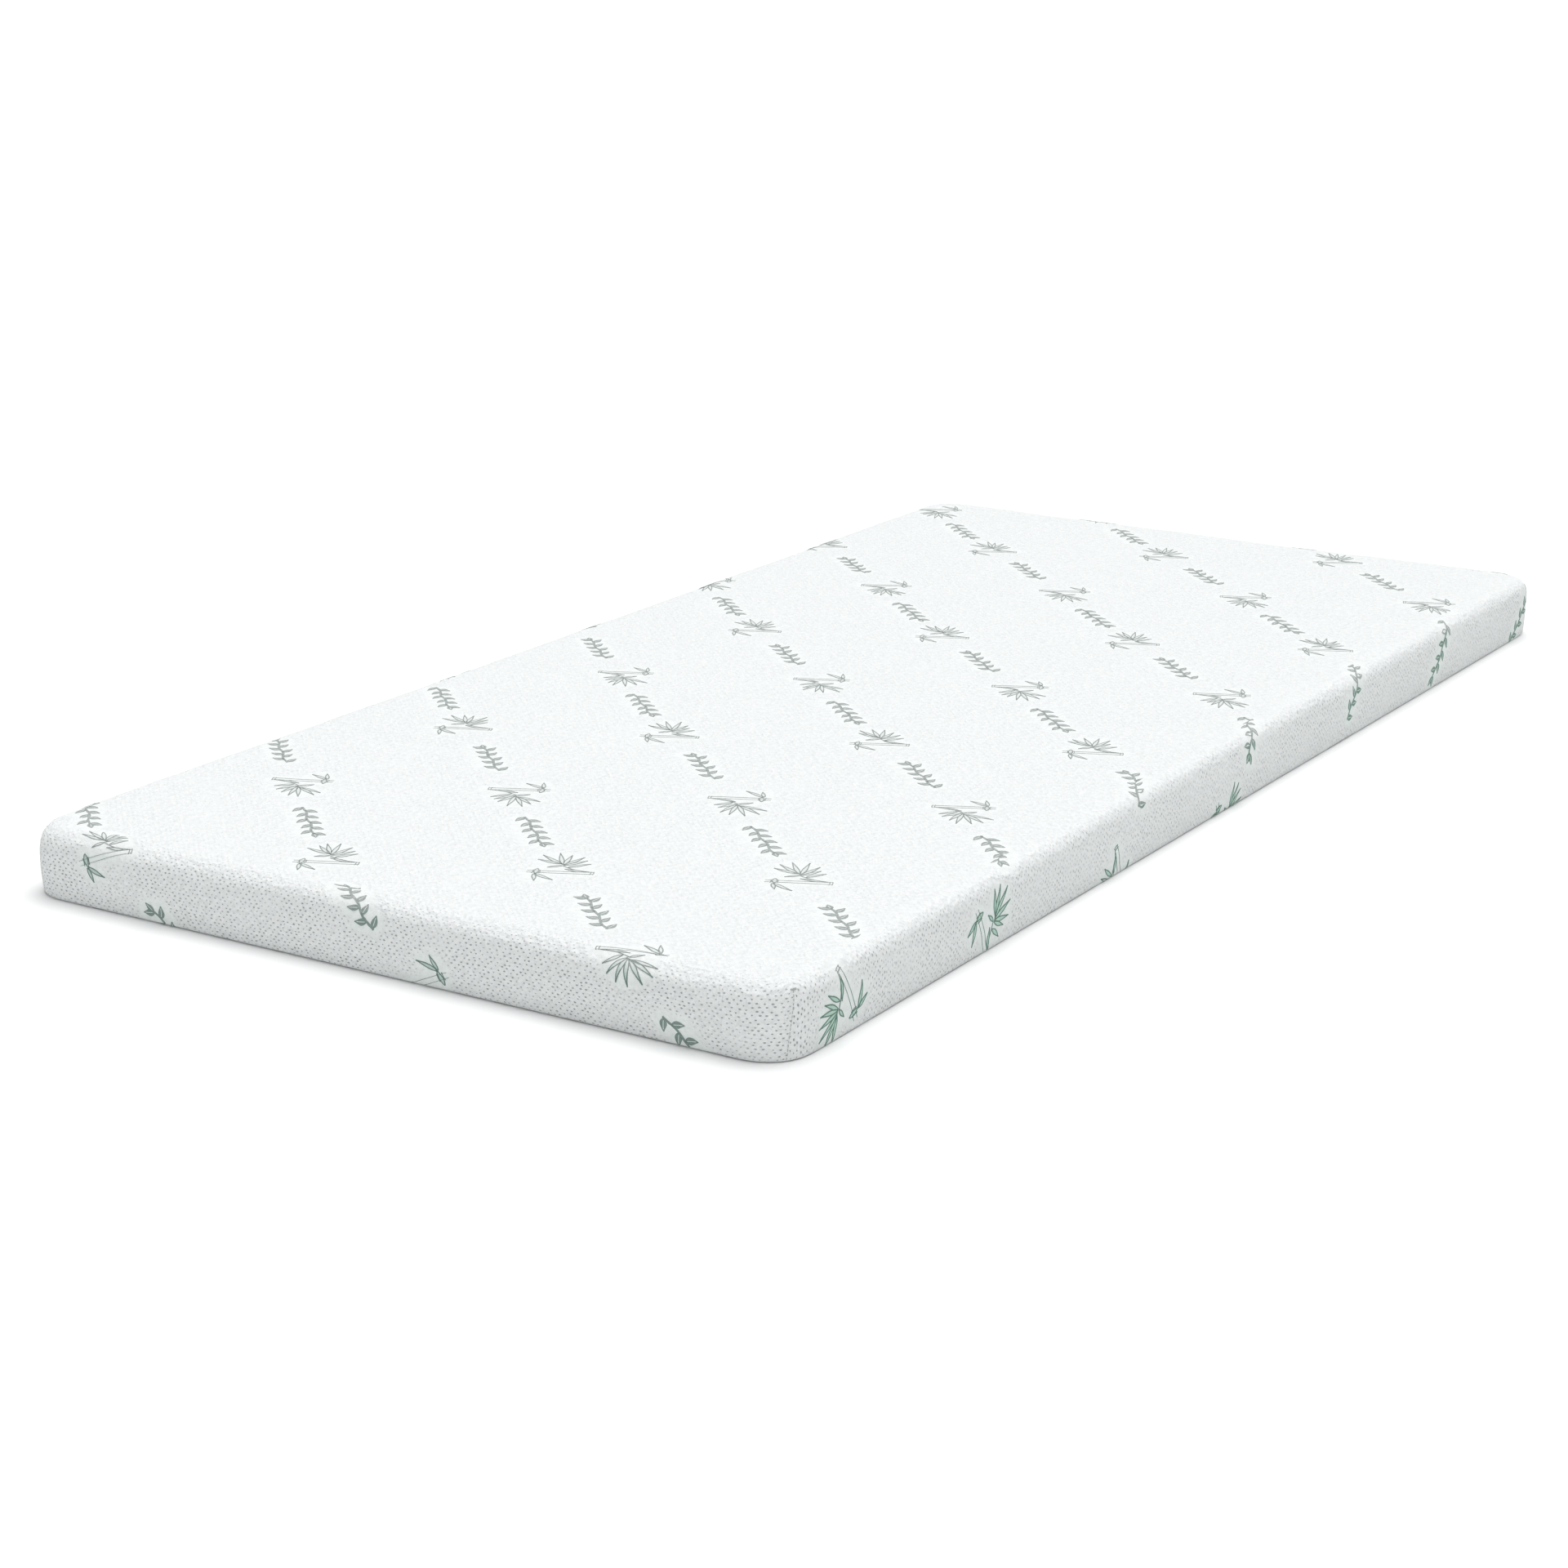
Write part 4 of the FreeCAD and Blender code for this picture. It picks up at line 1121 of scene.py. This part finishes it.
def satin_material():
    """Blank satin ribbon."""
    graph = Graph("label satin", 0.38, Sheen_Weight=0.3, Sheen_Roughness=0.3)
    graph.shader.inputs["Anisotropic"].default_value = 0.5
    height = graph.split(graph.place())[2]
    ribs = graph.math("SINE", graph.times(height, 2 * math.pi / 0.0005))
    fleck = graph.noise(graph.place(), 0.003, 2.0)
    white, grey = (0.86, 0.86, 0.84), (0.74, 0.75, 0.74)
    graph.colour(graph.mix(graph.ramp(fleck, 0.4, 0.8, 0.0, 0.4), white, grey))
    graph.bump(graph.math("MULTIPLY_ADD", ribs, 0.4, fleck), 0.00006, 0.6)
    return graph.material


def finish_piece(piece, material):
    """Gives a made piece its material and its body."""
    piece.data.materials.append(material)
    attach(piece, MATTRESS)


# ---- foam, liner and base -----------------------------------------------------------------------


def edge_drop(inset, radius):
    """How far a rounded edge falls away at a distance in from the outside."""
    if inset >= radius:
        return 0.0
    return radius - math.sqrt(max(0.0, radius**2 - (radius - inset) ** 2))


def slab_grid(half, plan_radius, edge_radius, cell):
    """Grid lines along one side of a slab, close together over its edges."""
    insets = [part * edge_radius for part in EDGE_PARTS] + [plan_radius]
    outer = [half - inset for inset in insets]
    return graded([-place for place in outer] + sorted(outer), cell)


def rounded_slab(name, node, radii, cell=0.03):
    """A closed slab in a node's box, with rounded plan corners and top and bottom edges."""
    low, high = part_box(node)
    middle = (low + high) / 2
    half = (high - low) / 2
    plan_radius, top_radius, base_radius = radii
    edge_radius = max(top_radius, base_radius)
    xs = slab_grid(half.x, plan_radius, edge_radius, cell)
    ys = slab_grid(half.y, plan_radius, edge_radius, cell)
    corner_x = half.x - plan_radius
    corner_y = half.y - plan_radius
    vertices = []
    for height, radius, sign in ((high.z, top_radius, -1), (low.z, base_radius, 1)):
        for x in xs:
            for y in ys:
                inset = plan_radius - max(abs(x) - corner_x, abs(y) - corner_y)
                px, py = fan(x, y, corner_x, corner_y)[:2]
                z = height + sign * edge_drop(inset, radius)
                vertices.append((px + middle.x, py + middle.y, z))

    last_i, last_j = len(xs) - 1, len(ys) - 1
    below = len(xs) * len(ys)
    faces = [[i * len(ys) + j for i, j in cell] for cell in grid_cells(last_i, last_j)]
    faces += [[below + corner for corner in reversed(face)] for face in faces]
    loops = [[i * len(ys) + j for i, j in rim_walk(last_i, last_j)]]
    for ring in range(1, SIDE_RINGS):
        for corner in loops[0]:
            x, y, z = vertices[corner]
            fall = vertices[below + corner][2] - z
            vertices.append((x, y, z + fall * ring / SIDE_RINGS))
        loops.append(list(range(len(vertices) - len(loops[0]), len(vertices))))
    loops.append([below + corner for corner in loops[0]])
    for upper, lower in zip(loops, loops[1:]):
        faces += band(upper, lower)
    return new_mesh_object(name, vertices, faces)


def soften(piece, amount, wavelength, offset):
    """Moves a slab's skin in by a slow noise, never out of the space it was given."""
    places = coordinates(piece)
    normals = vertex_normals(piece)
    move = -amount * (0.5 + 0.5 * lumps(places, wavelength, offset))
    set_coordinates(piece, places + normals * move[:, None])


def make_core():
    """The two foam layers and the knit sock round them."""
    for name, node, radii, unevenness, material, slot in (
        (
            "memory_foam",
            "memory_foam_layer",
            MEMORY_FOAM_RADII,
            (0.0004, 0.12, (1.0, 2.0, 11.0)),
            foam_material("memory foam", (0.84, 0.78, 0.62), 0.0012),
            "memory_foam",
        ),
        (
            "support_foam",
            "support_foam_layer",
            SUPPORT_FOAM_RADII,
            (0.0004, 0.12, (1.0, 2.0, 12.0)),
            foam_material("support foam", (0.86, 0.87, 0.84), 0.002),
            "support_foam",
        ),
        (
            "liner_sock",
            "inner_liner",
            LINER_RADII,
            (0.0005, 0.07, (9.0, 4.0, 2.0)),
            woven_material("liner knit", (0.82, 0.82, 0.79), 0.0016),
            "liner_knit",
        ),
    ):
        piece = rounded_slab(name, node, radii)
        soften(piece, *unevenness)
        finish_piece(piece, material)
        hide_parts(node)


def make_base_panel():
    """The plain panel under the mattress, very slightly wavy."""
    low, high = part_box("cover_bottom")
    panel = rounded_slab("base_panel", "cover_bottom", PANEL_RADII, 0.04)
    places = coordinates(panel)
    waves = 0.00012 * (1 + lumps(places, 0.11, (6.0, 1.0, 3.0)))
    lower_face = places[:, 2] < (low.z + high.z) / 2
    places[:, 2] += np.where(lower_face, waves, -waves)
    set_coordinates(panel, places)
    material = woven_material("base fabric", (0.72, 0.74, 0.74), 0.0022, roughness=0.85)
    finish_piece(panel, material)
    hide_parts("cover_bottom")


def binding_path(centre_x, centre_y):
    """Points round the binding's outer edge, each with its outward direction."""
    outline = []
    for sign_x, sign_y, first in ((1, 1, 0), (-1, 1, 90), (-1, -1, 180), (1, -1, 270)):
        centre = np.array([sign_x * centre_x, sign_y * centre_y])
        for number in range(BINDING_CORNER_STEPS + 1):
            turn = math.radians(first + 90 * number / BINDING_CORNER_STEPS)
            outward = np.array([math.cos(turn), math.sin(turn)])
            outline.append((centre + BINDING_RADIUS * outward, outward))
    path = []
    for (start, outward), (end, next_outward) in zip(outline, outline[1:] + outline[:1]):
        count = max(1, round(math.dist(start, end) / BINDING_CELL))
        for step in range(count):
            part = step / count
            turned = outward + (next_outward - outward) * part
            path.append((start + (end - start) * part, turned))
    return path


def make_binding():
    """The tape that covers the raw edges above the base panel, as one loop."""
    low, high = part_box("bottom_seam_binding")
    section = [(inset, high.z + bulge) for inset, bulge in BINDING_SECTION]
    section += [(inset, low.z - bulge) for inset, bulge in reversed(BINDING_SECTION)]
    path = binding_path(high.x - BINDING_RADIUS, high.y - BINDING_RADIUS)
    vertices = []
    for number, (place, outward) in enumerate(path):
        ripple = 0.00006 * math.sin(number * 0.9)
        for inset, height in section:
            x, y = place - outward * inset
            vertices.append((x, y, height + ripple * (inset > 0.001)))
    faces = tube_faces(len(path), len(section), closed=True)
    binding = new_mesh_object("seam_binding", vertices, faces)
    outward_normals(binding)
    material = woven_material("binding tape", (0.78, 0.78, 0.76), 0.0018, ribs=0.6)
    finish_piece(binding, material)
    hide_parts("bottom_seam_binding")


# ---- thread, seams and label --------------------------------------------------------------------


class Threads(Tubes):
    """Collects round stitches: each a short bowed thread whose ends dip into the cloth."""

    PARTS = (0.0, 0.12, 0.35, 0.65, 0.88, 1.0)

    def __init__(self, radius):
        super().__init__()
        self.radius = radius

    def add(self, start, end, normal, bow, dip=0.7):
        start = np.asarray(start, float)
        end = np.asarray(end, float)
        ahead = (end - start) / np.linalg.norm(end - start)
        aside = np.cross(normal, ahead)
        aside /= np.linalg.norm(aside)
        above = np.cross(ahead, aside)
        points = []
        for part in self.PARTS:
            arch = 4 * part * (1 - part)
            centre = start + (end - start) * part
            centre = centre + above * (bow * arch - self.radius * dip * (1 - arch))
            thin = self.radius * (0.55 + 0.45 * min(1.0, arch * 2.2))
            points += round_ring(centre, aside, above, thin)
        self.add_tube(points, ROUND_SIDES)


def seam_line(sign_x, sign_y, along, aside=0.0):
    """A point of the cover near a corner seam: distance down the profile, and to one side."""
    out, height = (float(value) for value in profile(along))
    outward, upward = (float(value) for value in profile_normal(along))
    radius = FLAT_RADIUS + out
    turn = float(seam_turn(height)) + aside / radius
    cos_turn = sign_x * math.cos(turn)
    sin_turn = sign_y * math.sin(turn)
    x = sign_x * CORNER_X + radius * cos_turn
    y = sign_y * CORNER_Y + radius * sin_turn
    place = Vector((x, y, height))
    normal = Vector((cos_turn * outward, sin_turn * outward, upward))
    hit = TREE.ray_cast(place + normal * SEARCH, -normal, 2 * SEARCH)[0]
    return np.array(hit if hit is not None else place), np.array(normal)


def make_corner_seams(material):
    """Stitches down each corner's groove, under three tacking bars of two stitches each."""
    for name, sign_x, sign_y in (
        ("front_left", -1, -1),
        ("front_right", 1, -1),
        ("rear_left", -1, 1),
        ("rear_right", 1, 1),
    ):
        threads = Threads(SEAM_THREAD)
        along = SEAM_TOP
        while along + STITCH_LENGTH < BASE_TURN_END:
            start, normal = seam_line(sign_x, sign_y, along)
            end, _ = seam_line(sign_x, sign_y, along + STITCH_LENGTH)
            threads.add(start, end, normal, bow=0.0003)
            along += STITCH_PITCH
        for offset in (-TACK_PITCH, 0.0, TACK_PITCH):
            left, normal = seam_line(sign_x, sign_y, SEAM_TOP + offset, -TACK_HALF)
            middle, _ = seam_line(sign_x, sign_y, SEAM_TOP + offset)
            right, _ = seam_line(sign_x, sign_y, SEAM_TOP + offset, TACK_HALF)
            threads.add(left, middle, normal, bow=0.0004)
            threads.add(middle, right, normal, bow=0.0004)
        piece = threads.piece("seam_thread_" + name)
        finish_piece(piece, material)
        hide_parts("corner_seam_" + name)


def make_zip_stitches(material):
    """A row of stitches along each zip tape."""
    for name in ("upper", "lower"):
        low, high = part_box("zip_stitching_" + name)
        middle = (low.z + high.z) / 2
        threads = Threads(ZIP_THREAD)
        x = low.x
        y = HALF_LENGTH + 0.00012
        while x + STITCH_LENGTH <= high.x + 0.0004:
            start = (x, y, middle)
            end = (x + STITCH_LENGTH, y, middle)
            threads.add(start, end, (0, 1, 0), bow=0.00012, dip=1.2)
            x += STITCH_PITCH
        piece = threads.piece("zip_thread_" + name)
        finish_piece(piece, material)
        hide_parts("zip_stitching_" + name)


def make_care_label():
    """A blank satin label, sewn at its rear edge and lifting a little towards its free edge."""
    low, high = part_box("care_label")
    points = []
    lifts = []
    for y in np.linspace(high.y, low.y, LABEL_COLUMNS):
        part = (high.y - y) / (high.y - low.y)
        for z in np.linspace(high.z, low.z, LABEL_ROWS):
            ripple = part * math.sin(z / 0.0065 + 2.5 * part)
            points.append((-(FLAT_X + wall_along(z)), y))
            lifts.append(LABEL_LIFT * (1 + ripple) + LABEL_CURL * part**2.2)
    places, normals, _ = on_cover(points)
    front = places + normals * np.array(lifts)[:, None]
    back = front - normals * LABEL_THICKNESS
    vertices = [tuple(place) for place in np.concatenate([front, back])]
    total = len(front)
    faces = []
    for cell in grid_cells(LABEL_COLUMNS - 1, LABEL_ROWS - 1):
        quad = [i * LABEL_ROWS + j for i, j in cell]
        faces.append(quad)
        faces.append([total + corner for corner in reversed(quad)])
    rim = [i * LABEL_ROWS + j for i, j in rim_walk(LABEL_COLUMNS - 1, LABEL_ROWS - 1)]
    faces += band(rim, [total + corner for corner in rim])
    label = new_mesh_object("care_label_blank", vertices, faces)
    outward_normals(label)
    finish_piece(label, satin_material())
    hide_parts("care_label")


# ---- the zip ------------------------------------------------------------------------------------


def make_tapes():
    """Herringbone tape with a soft cord along the edge that the coil is sewn to."""
    material = woven_material("zip tape", (0.80, 0.81, 0.80), 0.0011, ribs=0.5)
    for name, sign in (("upper", 1), ("lower", -1)):
        low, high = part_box("zip_tape_" + name)
        inner = low.z if sign > 0 else high.z
        reach = high.z - low.z
        depth = high.y - low.y
        section = []
        for part, thick in TAPE_SECTION:
            section.append((inner + sign * part * reach, low.y + depth * thick))
        section += [(z, low.y + depth * TAPE_BACK) for z, _ in reversed(section)]
        points = []
        for number in range(TAPE_STEPS + 1):
            x = low.x + (high.x - low.x) * number / TAPE_STEPS
            ripple = 0.00005 * math.sin(number * 0.8)
            for z, y in section:
                points.append((x, y + ripple * (abs(z - inner) > 0.004), z))
        tape = Tubes()
        tape.add_tube(points, len(section))
        piece = tape.piece("zip_woven_tape_" + name)
        finish_piece(piece, material)
        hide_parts("zip_tape_" + name)


def make_coils():
    """Each row of teeth as a nylon coil: flattened loops that reach past the zip's middle line."""
    material = nylon_material()
    for name, sign, first in (("upper", 1, 0.0), ("lower", -1, 0.5)):
        low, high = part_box("zip_teeth_" + name)
        middle_y = (low.y + high.y) / 2
        middle_z = (low.z + high.z) / 2
        half_y = (high.y - low.y) / 2 - COIL_WIRE
        half_z = (high.z - low.z) / 2 - COIL_WIRE
        turns = int((high.x - low.x - 2 * COIL_WIRE) / COIL_PITCH) - 1
        points = []
        for number in range(turns * COIL_STEPS + 1):
            turn = 2 * math.pi * number / COIL_STEPS
            x = low.x + COIL_WIRE + COIL_PITCH * (number / COIL_STEPS + first)
            cosine, sine = math.cos(turn), math.sin(turn)
            flat = math.copysign(abs(cosine) ** 0.7, cosine)
            centre = np.array([x, middle_y + half_y * sine, middle_z + sign * half_z * flat])
            ahead = np.array([COIL_PITCH / (2 * math.pi), half_y * cosine, -sign * half_z * sine])
            ahead /= np.linalg.norm(ahead)
            aside = np.cross(ahead, (1.0, 0.0, 0.0))
            aside /= np.linalg.norm(aside)
            points += round_ring(centre, aside, np.cross(ahead, aside), COIL_WIRE)
        coil = Tubes()
        coil.add_tube(points, ROUND_SIDES)
        piece = coil.piece("zip_coil_" + name)
        finish_piece(piece, material)
        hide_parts("zip_teeth_" + name)


def finish_metal():
    """The cast pieces keep their CAD shape, with softened edges and a plated finish."""
    material = metal_material()
    for node, edge in (
        ("zip_slider_body", 0.00022),
        ("zip_slider_bail", 0.0002),
        ("zip_pull", 0.00028),
        ("zip_top_stops", 0.0003),
        ("zip_bottom_stop", 0.0003),
    ):
        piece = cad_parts[node]
        bevel = piece.modifiers.new("Softened edges", "BEVEL")
        bevel.width = edge
        bevel.segments = 2
        bevel.limit_method = "ANGLE"
        if not piece.material_slots:
            piece.data.materials.append(material)
        for place in piece.material_slots:
            place.material = material


# ---- stage, light and camera ------------------------------------------------------------------

CAMERA_PLACE = (1.918, -3.253, 1.094)
CAMERA_AZIMUTH = 32.24
CAMERA_ELEVATION = 16.87
CAMERA_LENS = 76.38
SENSOR = 36.0
FLOOR_HALF = 60
ROOM_COLOUR = (0.96, 0.975, 1.0, 1)
ROOM_STRENGTH = 0.23

# Each sun's name, strength, angular size in degrees, and turn in degrees.
SUNS = (("overhead", 3.08, 60, (-13, 0, 0)), ("front", 0.62, 24, (82, 0, 22)))


def make_camera():
    data = bpy.data.cameras.new("camera")
    data.sensor_width = SENSOR
    data.lens = CAMERA_LENS
    data.clip_end = 200
    camera = bpy.data.objects.new("camera", data)
    camera.location = CAMERA_PLACE
    camera.rotation_euler = (math.radians(90 - CAMERA_ELEVATION), 0, math.radians(CAMERA_AZIMUTH))
    bpy.context.scene.collection.objects.link(camera)
    bpy.context.scene.camera = camera


def make_stage():
    corners = [(x * FLOOR_HALF, y * FLOOR_HALF, 0) for x, y in ((-1, -1), (1, -1), (1, 1), (-1, 1))]
    floor = new_mesh_object("floor", corners, [(0, 1, 2, 3)])
    material = bpy.data.materials.new("floor")
    material.use_nodes = True
    shader = material.node_tree.nodes["Principled BSDF"]
    shader.inputs["Base Color"].default_value = (0.93, 0.93, 0.93, 1)
    shader.inputs["Roughness"].default_value = 0.9
    floor.data.materials.append(material)


def make_light():
    """A broad soft light from above and a little behind, a weak one from the front, a pale room."""
    scene = bpy.context.scene
    scene.view_settings.view_transform = "Standard"
    world = bpy.data.worlds.new("studio")
    world.use_nodes = True
    background = world.node_tree.nodes["Background"]
    background.inputs["Color"].default_value = ROOM_COLOUR
    background.inputs["Strength"].default_value = ROOM_STRENGTH
    scene.world = world
    for name, energy, spread, turn in SUNS:
        sun = bpy.data.lights.new(name, "SUN")
        sun.energy = energy
        sun.angle = math.radians(spread)
        lamp = bpy.data.objects.new(name, sun)
        lamp.rotation_euler = [math.radians(angle) for angle in turn]
        scene.collection.objects.link(lamp)


make_camera()
make_stage()
make_light()

vertices, faces, flats = build_cover_mesh()
cover = new_mesh_object("knit_cover", vertices, faces, flats)
shape_cover(cover)
thicken_and_smooth(cover, COVER_THICKNESS)
TREE = cover_tree(cover)
motifs, marks = make_motifs()
mark_patches(cover, marks)
finish_piece(cover, knit_material())
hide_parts("cover_top")

for name, *yarn in MOTIF_YARNS:
    motifs[name].data.materials.append(thread_material(*yarn))

make_core()
make_base_panel()
make_binding()
sewing = woven_material("sewing thread", (0.50, 0.54, 0.52), 0.0009)
make_corner_seams(sewing)
make_zip_stitches(sewing)
make_care_label()
make_tapes()
make_coils()
finish_metal()
